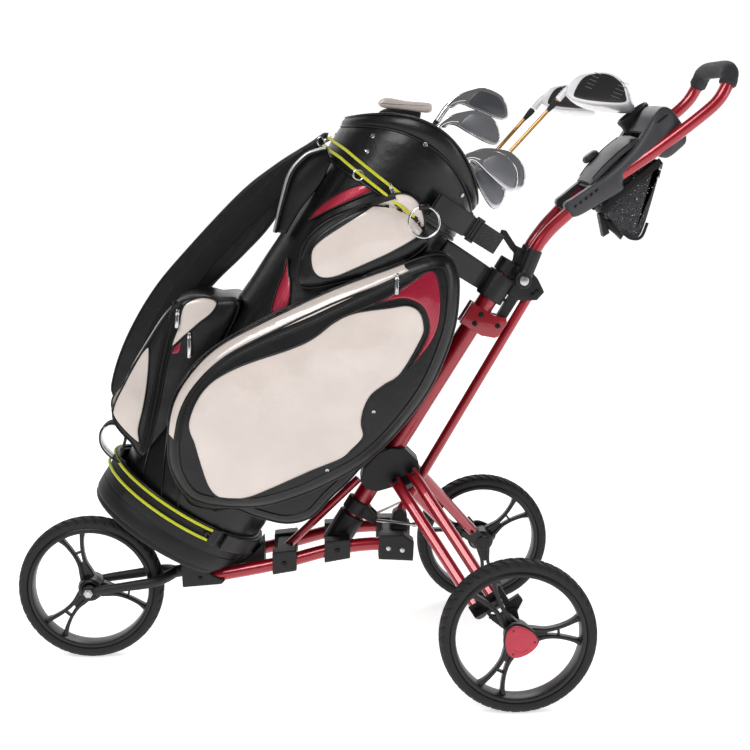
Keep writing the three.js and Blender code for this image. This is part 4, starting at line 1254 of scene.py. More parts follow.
def add_garment_pocket(pad, side, word):
    body = on_bag(
        f"{word}_garment_pocket", pad.shape(side), "leather",
        replaces=f"{word}_pocket",
    )
    weld(body)
    band_line = np.vstack([curve(BAND_TOP, 70), curve(BAND_LOW, 70)[::-1]])
    panels = [
        ("panel", LARGE_PANEL, "cream", True), ("band", band_line, "cream", False),
        ("carbon_panel", CARBON, "carbon", True),
    ]
    for label, outline, material, smooth in panels:
        on_bag(f"{word}_pocket_{label}", pad.patch(outline, side, smooth=smooth), material)
    cords = [
        pad.line(LARGE_PANEL, 2.1, side, 1.2, 200, closed=True),
        pad.line(BAND_TOP, 2.1, side, 1.2, 120),
        pad.line(CARBON, 1.6, side, 1.0, 140, closed=True),
        pad.line(inset(curve(LOWER, 150, True), 3), 3.0, side, -0.5, 200, closed=True),
        pad.line(inset(curve(LOWER, 150, True), 24), 2.2, side, 0.8, 200, closed=True),
    ]
    on_bag(f"{word}_pocket_piping", merged(*cords), "leather", 60)
    track = offset_line(BAND_LOW, -9)
    tape, coils = zip_along(pad, track, side)
    on_bag(f"{word}_pocket_zip_tape", tape, "zip", flat=35)
    on_bag(f"{word}_pocket_zip_coils", coils, "bolt", flat=35)
    tip = np.array(from_sn((712, -88))[0], float)
    y = float(pad.height([tip])[0]) + 3
    metal = [zip_pull(tip, y, (-18, 29), side, 30)]
    for at in from_sn((471, -192), (326, -180)):
        y = float(pad.height([at])[0]) + 0.6
        metal.append(snap(at, y, side, 4.2))
    on_bag(f"{word}_pocket_hardware", merged(*metal), "chrome", 40)


def add_upper_pocket(pad, side, word):
    body = on_bag(f"{word}_upper_pocket", pad.shape(side), "leather")
    weld(body)
    on_bag(f"{word}_upper_panel", pad.patch(UPPER_PANEL, side), "cream")
    cords = [
        pad.line(UPPER_PANEL, 1.9, side, 1.2, 140, closed=True),
        pad.line(inset(curve(UPPER, 150, True), 3), 2.6, side, -0.5, 160, closed=True),
    ]
    on_bag(f"{word}_upper_piping", merged(*cords), "leather", 60)
    track = from_sn((640, 74), (690, 79), (748, 56), (800, 24), (836, -4))
    tape, coils = zip_along(pad, track, side)
    on_bag(f"{word}_upper_zip_tape", tape, "zip", flat=35)
    on_bag(f"{word}_upper_zip_coils", coils, "bolt", flat=35)
    at = np.array(from_sn((846, 12))[0], float)
    pull = zip_pull(at, UPPER_PULL_Y, (-22, 15), side, 26)
    on_bag(f"{word}_upper_pull", pull, "chrome", 40)


def weld(obj, reach=0.02):
    bm = bmesh.new()
    bm.from_mesh(obj.data)
    bmesh.ops.remove_doubles(bm, verts=bm.verts, dist=reach * MM)
    bmesh.ops.recalc_face_normals(bm, faces=bm.faces)
    bm.to_mesh(obj.data)
    bm.free()
    return obj


# ---------------------------------------------------------------- bag body, boot and cuff


def oval_shape(profile, around, closed=False, change=None):
    """Rings of (a, b, height, shift in u) round the bag's axis; change(u, y, s, angle) moves the points."""
    turn = turns(around)
    verts = []
    for a, b, s, mid in profile:
        verts.append(
            np.column_stack([a * np.cos(turn) - mid, b * np.sin(turn), np.full(around, float(s)), turn])
        )
    verts = np.vstack(verts)
    points = verts[:, :3]
    if change is not None:
        points = change(points, verts[:, 3])
    return points, ring_faces(len(profile), around, closed)


def add_body():
    levels = np.linspace(63, 848, 46)
    grow = (levels - 63) / (848 - 63)
    outer = [
        (138 + 6 * g, 136 + 4 * g, s, -s * math.tan(math.radians(0.5))) for s, g in zip(levels, grow)
    ]
    inner = [(a - 4, b - 4, s, mid) for a, b, s, mid in reversed(outer)]

    def dent(points, turn):
        out = np.column_stack([np.cos(turn), np.sin(turn)])
        sag = 1.3 * settle(turn * 60, points[:, 2]) * np.sin((points[:, 2] - 63) / 785 * math.pi)
        seam = sum(
            np.exp(-((((turn - t + math.pi) % (2 * math.pi)) - math.pi) * 40) ** 2)
            for t in (2.35, 3.93, 0.9, 5.38)
        )
        points[:, :2] += out * (sag - 1.8 * seam)[:, None]
        return points

    shell = oval_shape(outer + inner, 160, closed=True, change=dent)
    body = on_bag("body_shell", shell, "leather", 60, replaces="bag_body")


SKIRT = [
    (84, 152, 141), (100, 156, 144), (125, 157, 145.5), (165, 154, 144), (215, 148, 141.5),
    (270, 142, 138.5),
]


def skirt_point(n, s, side, lift):
    """Point of the skirt at a height, n ahead of the bag's axis."""
    levels, a, b = np.array(SKIRT, float).T
    a, b = np.interp(s, levels, a), np.interp(s, levels, b)
    c = np.clip(-n / a, -0.99, 0.99)
    return -n, side * (b * math.sqrt(1 - c * c) + lift), s


def add_skirt():
    """Padded lower part of the bag that stands in the boot, with piping down its sides."""
    outer = [(a, b, s, 0) for s, a, b in SKIRT]
    inner = [(a - 6, b - 6, s, 0) for s, a, b in reversed(SKIRT)]
    skirt = on_bag(
        "body_skirt", oval_shape(outer + inner, 140, closed=True), "leather", 60,
    )
    seams = [
        [(255, 136), (209, 117), (150, 86), (100, 60)], [(170, 60), (140, 42), (100, 22)],
        [(230, 146), (170, 132), (110, 112)],
    ]
    cords = []
    for side in (-1, 1):
        for seam in seams:
            points = [skirt_point(n, s, side, 0.6) for s, n in curve(seam, 30)]
            cords.append(sweep(points, circle(2.2, 10), up=(1, 0, 0)))
    on_bag("skirt_piping", merged(*cords), "leather", 60)


def add_front_loop():
    """Folded webbing loop above the boot, lined with white."""
    line = [
        (-150, 96), (-186, 97), (-212, 108), (-226, 132), (-219, 154), (-199, 160), (-180, 148),
        (-172, 126), (-166, 106),
    ]
    path = curve(line, 60)
    band = np.column_stack([path[:, 0], np.full(60, -62.0), path[:, 1]])
    on_bag("front_loop", sweep(band, rounded_box(3, 34, 1.2, 3)), "webbing")
    middle = path.mean(0)
    lining = band.copy()
    lining[:, [0, 2]] = middle + (path - middle) * 0.9
    on_bag("front_loop_lining", sweep(lining[8:52], rounded_box(1.6, 30, 0.6, 3)), "white")


def add_boot():
    a, b, top, mid = BOOT["a"], BOOT["b"], BOOT["top"], BOOT["mid"]
    steps = [
        (0.01, 0), (0.5, 0), (0.9, 0), (0.955, 1.5), (0.975, 6),
        (0.972, 12), (0.985, 14), (0.995, 18), (1.0, 30),
        (1.0, 44), (0.992, 45.5), (0.992, 48), (1.0, 49.5),
        (1.0, 78), (1.012, 80), (1.016, 85), (1.014, 92),
        (1.0, 96), (0.975, 97), (0.955, 95), (0.95, 88), (0.95, 62), (0.5, 60), (0.01, 60),
    ]
    profile = [(a * k, b * k, s, mid) for k, s in steps]
    corner, normal = np.array((120.5, 17.9)), np.array((-0.682, 0.731))

    def cut(points, _):
        depth = (points[:, [0, 2]] - corner) @ normal
        points[:, [0, 2]] -= np.minimum(depth, 0)[:, None] * normal
        return points

    on_bag("boot_shell", oval_shape(profile, 140, change=cut), "boot", 40, replaces="bag_base")
    turn = turns(40)
    welt = np.column_stack(
        [-(mid + (a + 0.5) * np.cos(turn)), (b + 0.5) * np.sin(turn), np.full(40, 99.0)]
    )
    on_bag("boot_welt", tube(welt, 3.0, 160, 10, True, up=(0, 0, 1)), "leather", 60)


def rim_height(turn):
    """Height of the cuff's rim at an angle round the bag: low at front and back, high at the sides."""
    return CUFF["rim"] + CUFF["crown"] * np.sin(turn) ** 2


def add_cuff():
    a, b, mid, bottom = CUFF["a"], CUFF["b"], CUFF["mid"], CUFF["bottom"]
    outer = [
        (0.985, 0.0), (0.995, 0.02), (1.0, 0.06), (1.0, 0.2), (1.002, 0.4), (1.004, 0.6), (1.003, 0.72),
        (0.99, 0.755), (0.992, 0.78), (1.014, 0.81), (1.024, 0.87),
        (1.02, 0.94), (1.0, 0.985), (0.975, 1.0),
        (0.955, 0.98), (0.945, 0.9), (0.945, 0.5), (0.945, 0.05), (0.96, 0.0),
    ]
    profile = [(a * k, b * k, share, mid) for k, share in outer]

    def lift(points, turn):
        share = points[:, 2].copy()
        points[:, 2] = bottom + share * (rim_height(turn) - bottom)
        soft = settle(turn * 70, share * 160) * np.clip(1 - np.abs(share - 0.45) / 0.35, 0, 1)
        points[:, :2] += np.column_stack([np.cos(turn), np.sin(turn)]) * soft[:, None]
        return points

    shell = oval_shape(profile, 180, closed=True, change=lift)
    cuff = on_bag("cuff_shell", shell, "leather", 60, replaces="bag_cuff")
    turn = turns(120)
    cords = []
    for share, k, r in ((0.0, 1.0, 2.6), (0.765, 1.003, 2.0), (0.985, 1.012, 2.2)):
        s = bottom + share * (rim_height(turn) - bottom)
        path = np.column_stack([a * k * np.cos(turn) - mid, b * k * np.sin(turn), s])
        cords.append(sweep(path, circle(r, 10), True, up=(0, 0, 1)))
    on_bag("cuff_piping", merged(*cords), "leather", 60)
    stitches = []
    for k in range(150):
        t0 = 2 * math.pi * k / 150
        pair = []
        for t in (t0, t0 + 0.024):
            pair.append(
                (
                    a * 1.008 * math.cos(t) - mid, b * 1.008 * math.sin(t),
                    bottom + 7 + 0.02 * (rim_height(t) - bottom),
                )
            )
        stitches.append(
            sweep(np.array([pair[0], np.mean(pair, 0), pair[1]]), circle(0.6, 6), up=(0, 0, 1))
        )
    on_bag("cuff_stitching", merged(*stitches), "bolt", 60)
    add_lift_handle(b)


def add_lift_handle(b):
    """Cream padded lift on the far side's rim, on a black tab."""
    outline = curve(
        [
            (-108, 971), (-98, 988), (-60, 1005), (-20, 1026), (-10, 1022), (-9, 1009), (-50, 988),
            (-88, 969), (-101, 965),
        ],
        70, True,
    )
    on_bag("cuff_lift_pad", slab(outline, b - 27, b - 9, 7, 5), "cream", 60)
    backing = curve([(-92, 950), (-20, 956), (-22, 1000), (-44, 992), (-80, 976)], 60, True)
    on_bag("cuff_lift_tab", slab(backing, b - 22, b - 12, 3, 3), "leather", 60)


BALL = [
    (-110, 150), (-170, 142), (-226, 170), (-240, 250), (-243, 340), (-240, 410), (-222, 452),
    (-176, 478), (-120, 474),
]
BALL_LOWER_PANEL = from_sn(
    (152, 152), (176, 165), (225, 182), (273, 203), (318, 227), (324, 236), (290, 240), (240, 240),
    (196, 239), (168, 214),
)
BALL_UPPER_PANEL = from_sn(
    (352, 197), (392, 207), (430, 219), (452, 211), (470, 190), (472, 168), (450, 166), (420, 176),
    (385, 186),
)


def add_ball_pocket():
    face = Pad(BALL, 0, 66, 84, 18, tuck=0)
    body = on_bag(
        "ball_pocket_body", merged(face.shape(-1), face.shape(1)), "leather",
        replaces="ball_pocket",
    )
    weld(body)
    front = curve([(-166, 148), (-222, 172), (-237, 250), (-240, 340), (-238, 400), (-224, 440)], 60)
    path = np.column_stack([front[:, 0] - 1.5, np.zeros(60), front[:, 1]])
    on_bag("ball_pocket_front", sweep(path, rounded_box(5, 118, 2.2, 3)), "cream")
    for side, word in ((-1, "left"), (1, "right")):
        add_ball_side(face, side, word)


def add_ball_side(face, side, word):
    for label, outline in (("lower", BALL_LOWER_PANEL), ("upper", BALL_UPPER_PANEL)):
        patch = face.patch(outline, side, lift=1.8, puff=1.2)
        on_bag(f"{word}_ball_{label}_panel", patch, "cream")
    corner = from_sn((367, 186), (352, 191), (340, 189), (350, 178))
    on_bag(f"{word}_ball_corner", face.patch(corner, side, 1.4, 0.4, 40), "carbon")
    cords = [
        face.line(outline, 1.7, side, 1.0, 110, closed=True)
        for outline in (BALL_LOWER_PANEL, BALL_UPPER_PANEL)
    ]
    cords.append(face.line(inset(face.outline, 4), 2.4, side, 0.2, 150, closed=True))
    strip = from_sn((142, 132), (182, 146), (240, 166), (290, 186), (338, 204), (385, 219), (432, 231))
    cords += [face.line(offset_line(strip, by), 1.6, side, 1.4, 120) for by in (-9, 9)]
    on_bag(f"{word}_ball_piping", merged(*cords), "leather", 60)
    tapes, coils = zip(*(zip_along(face, offset_line(strip, by), side) for by in (-4, 4)))
    on_bag(f"{word}_ball_zip_tape", merged(*tapes), "zip", flat=35)
    on_bag(f"{word}_ball_zip_coils", merged(*coils), "bolt", flat=35)
    pulls = []
    for at, run, length in (((390, 179), (-25, 40), 40), ((416, 222), (-14, 26), 26)):
        place = np.array(from_sn(at)[0], float)
        y = float(face.height([place])[0]) + 3
        pulls.append(zip_pull(place, y, run, side, length))
    on_bag(f"{word}_ball_pulls", merged(*pulls), "chrome", 40)


# ---------------------------------------------------------------- straps, handles and cords of the bag

STRAP_OUTLINE = [
    (-178, 168), (-243, 160), (-269, 200), (-288, 290),
    (-292, 397), (-279, 501), (-248, 662), (-216, 754),
    (-182, 826), (-166, 862), (-156, 850), (-156, 760),
    (-158, 640), (-172, 560), (-192, 470), (-199, 370),
    (-194, 270),
]


def add_shoulder_strap():
    outline = curve(STRAP_OUTLINE, 140, True)
    body = on_bag(
        "shoulder_strap_pad", slab(outline, 92, 110, 7, 5), "leather", 60,
        replaces="shoulder_strap",
    )
    cords = []
    for y in (93.5, 108.5):
        line = inset(outline, 3.2)
        path = np.column_stack([line[:, 0], np.full(len(line), y), line[:, 1]])
        cords.append(sweep(path, circle(2.0, 10), True))
    on_bag("shoulder_strap_piping", merged(*cords), "leather", 60)
    quilt = curve([(-214, 226), (-238, 330), (-240, 440), (-224, 560), (-196, 690), (-176, 780)], 80)
    path = np.column_stack([quilt[:, 0], np.full(80, 91.8), quilt[:, 1]])
    on_bag("shoulder_strap_webbing", sweep(path, rounded_box(38, 3.4, 1.4, 3)), "webbing")
    clips = [swivel_clip((-158, 90, 846), 40), swivel_clip((-190, 90, 176), 150)]
    on_bag("shoulder_strap_clips", merged(*clips), "chrome", 40)


def swivel_clip(at, turn):
    """Trigger hook: a barrel, a bent hook and its gate."""
    barrel = lathe([(2, 0), (5, 0), (5.6, 3), (4, 8), (3, 12), (0.01, 12)], 20, axis="Z")
    hook = tube([(0, 0, 10), (6, 0, 16), (8, 0, 26), (3, 0, 34), (-5, 0, 32), (-7, 0, 24)], 2.1, 30, 12)
    gate = tube([(-7, 0, 24), (-4, 0, 15), (0, 0, 11)], 1.4, 10, 10)
    eye = tube([(9 * math.cos(t), 0, -8 + 7 * math.sin(t)) for t in turns(14)], 1.9, 40, 10, True)
    return moved(moved(merged(barrel, hook, gate, eye), turn=turn), at)


def add_grab_handle():
    points = [(-146, 648), (-166, 706), (-181, 760), (-175, 803), (-160, 826), (-148, 838)]
    line = curve(points, 60)
    path = np.column_stack([line[:, 0], np.full(60, -61.0), line[:, 1]])
    thick = 0.8 + 0.35 * np.sin(np.linspace(0, math.pi, 60))
    section = rounded_box(10, 32, 4, 4)
    scale = np.column_stack([thick, np.full(60, 1.0)])
    on_bag(
        "grab_handle_pad", sweep(path, section, scale=scale), "leather", 60,
        replaces="grab_handle",
    )
    inner = curve([(-126, 657), (-128, 707), (-124, 748), (-122, 782), (-128, 821)], 60)
    web = slab(np.vstack([line, inner[::-1]]), -64, -58, 2.5, 2)
    on_bag("grab_handle_web", web, "leather", 60)
    # The two steel cords along the pad's edges are a painted highlight: they stand for the shine of light
    # along the black vinyl's edges, not for real metal edging.
    edges = []
    for y in (-77, -45):
        edge = path + np.array((-2.5, 0, 0))
        edge[:, 1] = y
        edges.append(sweep(edge, circle(2.4, 10)))
    on_bag("grab_handle_painted_highlight", merged(*edges), "steel", 60)


def bungee_cords(oval, reach, level, spacing, r):
    mid, a, b = oval
    cords = []
    for dz in (-spacing / 2, spacing / 2):
        points = []
        for deg in np.linspace(-reach, reach, 60):
            t = math.radians(deg)
            points.append((-(mid + a * math.cos(t)), b * math.sin(t), level(abs(deg)) + dz))
        cords.append(sweep(np.array(points), circle(r, 12), up=(0, 0, 1)))
    return merged(*cords)


def bungee_clip(oval, deg, s, spacing):
    """Moulded end piece that grips both cords, with its hook."""
    mid, a, b = oval
    t = math.radians(deg)
    at = (-(mid + a * math.cos(t)), b * math.sin(t), s)
    outline = rounded_box(20, spacing + 12, 4)
    plate = slab(outline, -3.6, 3.6, 1.5)
    hook = tube([(8, 0, 0), (16, 0, 3), (20, 0, 0), (16, 0, -4)], 2.6, 16, 10)
    rib = slab(rounded_box(2, spacing + 6, 0.9), -4.4, 4.4, 0.6)
    ribs = [moved(rib, (x, 0, 0)) for x in (-5, 0, 5)]
    verts, faces = merged(plate, hook, *ribs)
    facing = math.atan2(b * math.cos(t), a * math.sin(t))
    c, k = math.cos(facing), math.sin(facing)
    x, y = verts[:, 0].copy(), verts[:, 1].copy()
    verts[:, 0], verts[:, 1] = x * c - y * k, x * k + y * c
    return verts + np.array(at), faces


def add_bungees():
    upper, lower = (-6, 161, 157), (10, 171.5, 157.5)

    def falling(deg):
        return 847 - 17 * max(0, (deg - 40) / 72)

    cords = bungee_cords(upper, 112, falling, 18, 2.9)
    on_bag("upper_bungee_cords", cords, "elastic", 60, replaces="upper_bungee")
    cords = bungee_cords(lower, 118, lambda deg: 84, 22, 2.9)
    on_bag("lower_bungee_cords", cords, "elastic", 60, replaces="lower_bungee")
    clips = [bungee_clip(upper, s * 112, falling(112), 18) for s in (-1, 1)]
    clips += [bungee_clip(lower, s * 118, 84, 22) for s in (-1, 1)]
    on_bag("bungee_clips", merged(*clips), "black", 40)


def add_upper_straps():
    for side, word in ((-1, "left"), (1, "right")):
        line = curve([(74, 158), (122, 145), (173, 112), (213, 70), (238, 32)], 60)
        path = np.column_stack([line[:, 0], side * line[:, 1], np.full(60, 863.0)])
        strap = sweep(path, rounded_box(4.2, 42, 1.6, 3), up=(0, 0, 1))
        on_bag(f"{word}_strap_band", strap, "webbing", replaces=f"{word}_strap")
        pad_path = path[:24] + np.array((2.5, side * 3.5, 0))
        rubber = sweep(pad_path, rounded_box(6.5, 46, 2.6, 4), up=(0, 0, 1))
        frame_path = path[27:33] + np.array((1.5, side * 2.0, 0))
        bar = sweep(frame_path, rounded_box(7, 5, 1.5, 3), up=(0, 0, 1))
        buckle = [moved(bar, (0, 0, dz)) for dz in (-23, 23)]
        for k in (0, 2, 5):
            p = frame_path[k]
            buckle.append(sweep(np.array([p + (0, 0, -24), p, p + (0, 0, 24)]), circle(2.4, 10)))
        on_bag(f"{word}_strap_buckle", merged(rubber, *buckle), "black", 40)


RING = {"x": 76, "y": -174, "z": 824, "r": 29, "wire": 2.2}


def add_rings():
    centre = BAG @ Vector((RING["x"], RING["y"], RING["z"]))
    place = Matrix.Translation(centre) @ Matrix.Scale(MM, 4)
    points = [(RING["r"] * math.cos(t), 0, RING["r"] * math.sin(t)) for t in turns(24)]
    ring = tube(points, RING["wire"], 120, 14, True)
    piece("towel_ring_wire", ring, place, "chrome", "towel_ring", "towel_ring")
    loop = tube(
        [(0, 6, 34), (0, -3, 33), (0, -4, 27), (0, 4, 24), (0, 9, 30)], 3.2, 30, 12, up=(1, 0, 0),
    )
    loop = (loop[0] * (3.2, 1, 1), loop[1])
    piece("towel_ring_loop", loop, place, "leather", "root", ())
    snaps = []
    mid, a, b = CUFF["mid"], CUFF["a"], CUFF["b"]
    for side in (-1, 1):
        for deg, s in ((128, 906), (125, 876), (92, 946), (45, 905), (39, 876)):
            t = math.radians(deg)
            at = np.array((a * 1.006 * math.cos(t) - mid, side * b * 1.006 * math.sin(t), s))
            out = np.array((math.cos(t), side * math.sin(t), 0))
            snaps.append(snap_on(at, out))
    steps = np.linspace(0, 6.283, 20, endpoint=False)
    d_ring = tube(
        [(-73 + 10 * math.cos(t), -133, 830 + 9 * math.sin(t)) for t in steps], 1.8, 40, 10, True,
    )
    snaps.append(d_ring)
    on_bag("cuff_snaps", merged(*snaps), "chrome", 40)


def snap_on(at, out, r=4.6):
    return moved(facing(snap((0, 0), 0, 1, r), out, (0, 1, 0)), at)


# ---------------------------------------------------------------- handle and console

HANDLE_SIDE = [
    (9, 37, 20), (23, 37, 58), (43, 39, 88), (69, 48, 117),
    (126, 70, 170), (183, 90, 213), (243, 103, 257),
    (318, 112, 316), (355, 113, 350), (374, 108, 384),
]
HANDLE_PATH = curve(
    [(x, -y, z) for x, y, z in HANDLE_SIDE] + [
        (380, -84, 406), (381, 0, 409), (380, 84, 406),
    ] + HANDLE_SIDE[::-1], 240
)


def add_handle():
    bar = sweep(HANDLE_PATH, circle(12.4, 32), up=(1, 0, 0))
    piece("handle_bar", bar, HANDLE, "red", "handle", "handle_tube", 60)
    held = HANDLE_PATH[HANDLE_PATH[:, 2] > 372]
    swell = np.full((len(held), 2), 1.0)
    swell[0] = swell[-1] = (0.8, 0.8)
    swell[1] = swell[-2] = (0.97, 0.97)
    sleeve = sweep(held, circle(16.4, 40), scale=swell, up=(1, 0, 0))
    rings = []
    for k in (2, 5, -6, -3):
        rings.append(sweep(held[k - 1 : k + 2], circle(17, 40), up=(1, 0, 0)))
    grip = piece(
        "grip_sleeve", merged(sleeve, *rings), HANDLE, "foam", "handle", "handle_grip",
        50,
    )


TRAY_SIDE = [
    (-57, -6), (-46, -19), (0, -23), (50, -26), (58, -16),
    (70, -7), (100, -4), (130, -6), (142, -14), (154, -27),
    (182, -28), (202, -25), (214, -4), (216, 20), (215, 40),
    (206, 55), (190, 57), (170, 50), (147, 40), (110, 26),
    (60, 17), (8, 15), (-30, 15), (-52, 14),
]
WIDTHS = [(-58, 70), (-20, 84), (40, 100), (110, 110), (170, 110), (216, 96)]


def half_width(x):
    return np.interp(x, *np.array(WIDTHS, float).T)


def console_wall(side):
    """One side of the console: a swelling wall that follows the handle's tube."""
    outline = curve(TRAY_SIDE, 150, True)
    flat, faces = filled(outline, 8, (1, 3, 6, 10))
    d = away(flat, outline)
    swell = 7 * (1 - np.exp(-d / 9)) - 3 * np.clip(1 - d / 3, 0, 1) ** 2
    rings = []
    for drop in (0, 26):
        y = half_width(flat[:, 0]) - 6 - drop + swell * (1 if drop == 0 else 0.1)
        rings.append(np.column_stack([flat[:, 0], y, flat[:, 1]]))
    return moved(joined(*rings, faces, closest(outline, flat)), mirror_y=side < 0)


def across(line, edge=8.0, inset_y=20):
    """A skin from one wall to the other over an (x, z) line, with soft ends."""
    rows = []
    for x, z in line:
        half = half_width(x) - inset_y
        for share in np.linspace(-1, 1, 25):
            rows.append((x, half * share, z - edge * max(0, abs(share) - 0.86) ** 2 * 20))
    return np.array(rows)


def skin(line, thick, inset_y=20, crown=0.0):
    """A closed shell over an (x, z) line between the walls, crowned across its width."""
    top = across(line, 4, inset_y)
    half = half_width(top[:, 0]) - inset_y
    top[:, 2] += crown * (1 - (top[:, 1] / half) ** 2)
    low = top - np.array((0, 0, thick))
    n, m = len(line), 25
    at = n * m
    faces = []
    for i in range(n - 1):
        for j in range(m - 1):
            a, b, c, d = i * m + j, i * m + j + 1, (i + 1) * m + j + 1, (i + 1) * m + j
            faces += [(a, b, c, d), (a + at, d + at, c + at, b + at)]
    rim = [i * m for i in range(n)] + [(n - 1) * m + j for j in range(1, m)]
    rim += [i * m + m - 1 for i in reversed(range(n - 1))] + list(reversed(range(1, m - 1)))
    for a, b in zip(rim, rim[1:] + rim[:1]):
        faces.append((a, b, b + at, a + at))
    return np.vstack([top, low]), faces


def add_console():
    walls = [console_wall(-1), console_wall(1)]
    floor = skin(curve([(-52, -8), (-20, -14), (20, -16), (52, -16)], 24), 4)
    front = skin(curve([(-57, 6), (-55, 0), (-50, -8)], 12), 4)
    end = skin(
        curve([(147, 38), (170, 49), (190, 56), (206, 54), (214, 40), (215, 20), (212, -4)], 40), 5,
        crown=3,
    )
    deck = skin(curve([(6, 12), (70, 13), (146, 14)], 20), 4)
    shell = merged(*walls, floor, front, end, deck)
    piece("console_shell", shell, CONSOLE, "console", "handle", "console_tray", 50)
    add_console_lid()
    add_console_details()


def add_console_lid():
    lid_line = curve([(10, 19), (40, 28), (70, 33), (100, 36), (132, 36)], 40)
    lid = skin(lid_line, 6, inset_y=19, crown=4)
    piece("console_lid_shell", lid, CONSOLE, "console", "console_lid", "console_lid", 50)
    lines = []
    for side in (-1, 1):
        y = side * (half_width(lid_line[:, 0]) - 27)
        path = np.column_stack([lid_line[:, 0], y, lid_line[:, 1] + 1.4])
        lines.append(sweep(path[3:-1], circle(0.9, 8), up=(0, 1, 0)))
    tick = slab([(118, 38.4), (127, 38.6), (123, 40.2)], -72, -62, 0.5)
    piece(
        "console_lid_lines", merged(*lines, tick), CONSOLE, "console_dark", "console_lid", (),
        40,
    )


def add_console_details():
    """The cup holder's rim, the row of slots along each wall, and the knob beside the lid."""
    cup = lathe(
        [
            (31, 8), (33.5, 8), (34, 52), (35.6, 58), (35.2, 63), (33, 64.5), (30.4, 62), (30, 56),
            (30, 10),
        ],
        72, (176, 62, 0), axis="Z", closed=True,
    )
    piece("cup_holder_rim", cup, CONSOLE, "console_dark", "handle", (), 40)
    slots = []
    for side in (-1, 1):
        for k, x in enumerate((-38, -26, -14, -2, 10)):
            y = half_width(x) - 1.2
            hole = slab(rounded_box(8, 4.6, 2.2), -1.2, 1.2, 0.4)
            hole = moved(hole, turn=-20)
            slots.append(moved(hole, (x, side * y, 1 + k * 0.6)))
    slit = slab(rounded_box(26, 3.4, 1.5), -1, 1, 0.4)
    slots.append(moved(slit, (188, -106.5, 40)))
    piece("console_slots", merged(*slots), CONSOLE, "bolt", "handle", (), 40)
    knob = lathe(
        [(0.01, 0), (15, 0), (18, 3), (18, 9), (14, 13), (0.01, 14)], 40, (60, 76, 34), axis="Z",
    )
    piece("console_far_knob", knob, CONSOLE, "console", "console_lid", (), 40)


def add_pouch():
    outline = curve(
        [
            (156, 136), (176, 166), (222, 204), (262, 236), (262, 210), (252, 166), (238, 114),
            (226, 86), (206, 84), (190, 98), (172, 118),
        ],
        110, True,
    )
    body = piece(
        "pouch_net", slab(outline, -62, 62, 14, 6), HANDLE, "net", "handle", "mesh_pouch", 60,
    )
    rim = curve([(152, 134), (176, 164), (222, 202), (262, 234)], 50)
    band = []
    for side in (-1, 1):
        path = np.column_stack([rim[:, 0], np.full(50, side * 63.0), rim[:, 1]])
        band.append(sweep(path, rounded_box(5, 14, 2, 3)[:, ::-1]))
    bottom = curve([(190, 97), (208, 84), (228, 86), (240, 114)], 30)
    for side in (-1, 1):
        path = np.column_stack([bottom[:, 0], np.full(30, side * 61.0), bottom[:, 1]])
        band.append(sweep(path, circle(3.2, 12)))
    piece("pouch_bindings", merged(*band), HANDLE, "webbing", "handle", (), 50)
    pull = moved(zip_pull((0, 0), 0, (0.2, 1), 1, 20), (262, -66, 222))
    piece("pouch_pull", pull, HANDLE, "chrome", "handle", (), 40)
    holder = slab([(150, 126), (170, 118), (206, 96), (196, 78), (186, 88), (160, 108)], -30, -6, 3, 4)
    strap = slab([(150, 128), (158, 132), (172, 92), (160, 84)], -34, -2, 2, 3)
    piece("accessory_bracket", merged(holder, strap), HANDLE, "black", "handle", (), 40)


# ---------------------------------------------------------------- clubs

IRONS = [
    ((-20, 20, 72), (8, 2, 1046), 14),
    ((-50, -30, 72), (14, -34, 1005), 8),
    ((90, -54, 72), (84, -62, 962), -25),
    ((85, -77, 72), (92, -82, 986), -8),
    ((35, -95, 72), (80, -100, 972), -6),
]
DRIVER = ((-5, -40, 72), (184, -28, 1191))
FAIRWAY = ((-6, -6, 72), (166, 76, 1160))
FAIRWAY_SCALE = 0.8
BLADE = [
    (-7, -11), (7, -11), (20, 1), (54, -1), (92, -3), (111, 1), (115, 14), (103, 33), (84, 45),
    (52, 46), (28, 33), (6, 14),
]
BLADE_FACE = [(34, 8), (60, 5), (92, 4), (106, 8), (107, 16), (98, 29), (82, 38), (58, 39), (42, 33)]
HEAD = [(-7, -13), (-4, 24), (22, 51), (50, 67), (80, 66), (103, 51), (111, 34), (62, 2), (20, -16)]
HEAD_FACE = [(12, -6), (10, 28), (28, 50), (52, 62), (78, 61), (97, 48), (103, 34), (60, 8), (24, -8)]
HEAD_MIDDLE = (56, 30)
HEAD_DEPTH = 96
HEAD_SWEEP = 50


def shaft_parts(foot, neck, past):
    """Grip, shaft and ferrule along a club's axis, as three shapes."""
    foot, neck = np.array(foot, float), np.array(neck, float)
    along = (neck - foot) / np.linalg.norm(neck - foot)
    length = np.linalg.norm(neck - foot)
    at = lambda d: foot + along * d
    stations = np.array([at(d) for d in (0, 2, 6, 60, 150, 255, 262, 265)])
    radii = np.array([6.5, 8.6, 8.9, 8.2, 7.4, 6.2, 5.8, 4.8])[:, None]
    grip = sweep(stations, circle(1, 24), scale=np.repeat(radii, 2, 1), up=(0, 1, 0))
    steps = np.array([at(d) for d in (262, 420, 422, 600, 602, length - 40, length + past - 34)])
    radii = np.array([4.4, 4.4, 4.15, 4.15, 3.9, 3.7, 3.7])[:, None]
    shaft = sweep(steps, circle(1, 20), scale=np.repeat(radii, 2, 1), up=(0, 1, 0))
    ends = np.array([at(length + past + d) for d in (-62, -60, -44, -36)])
    radii = np.array([4.0, 4.3, 6.2, 6.4])[:, None]
    ferrule = sweep(ends, circle(1, 20), scale=np.repeat(radii, 2, 1), up=(0, 1, 0))
    return grip, shaft, ferrule, at


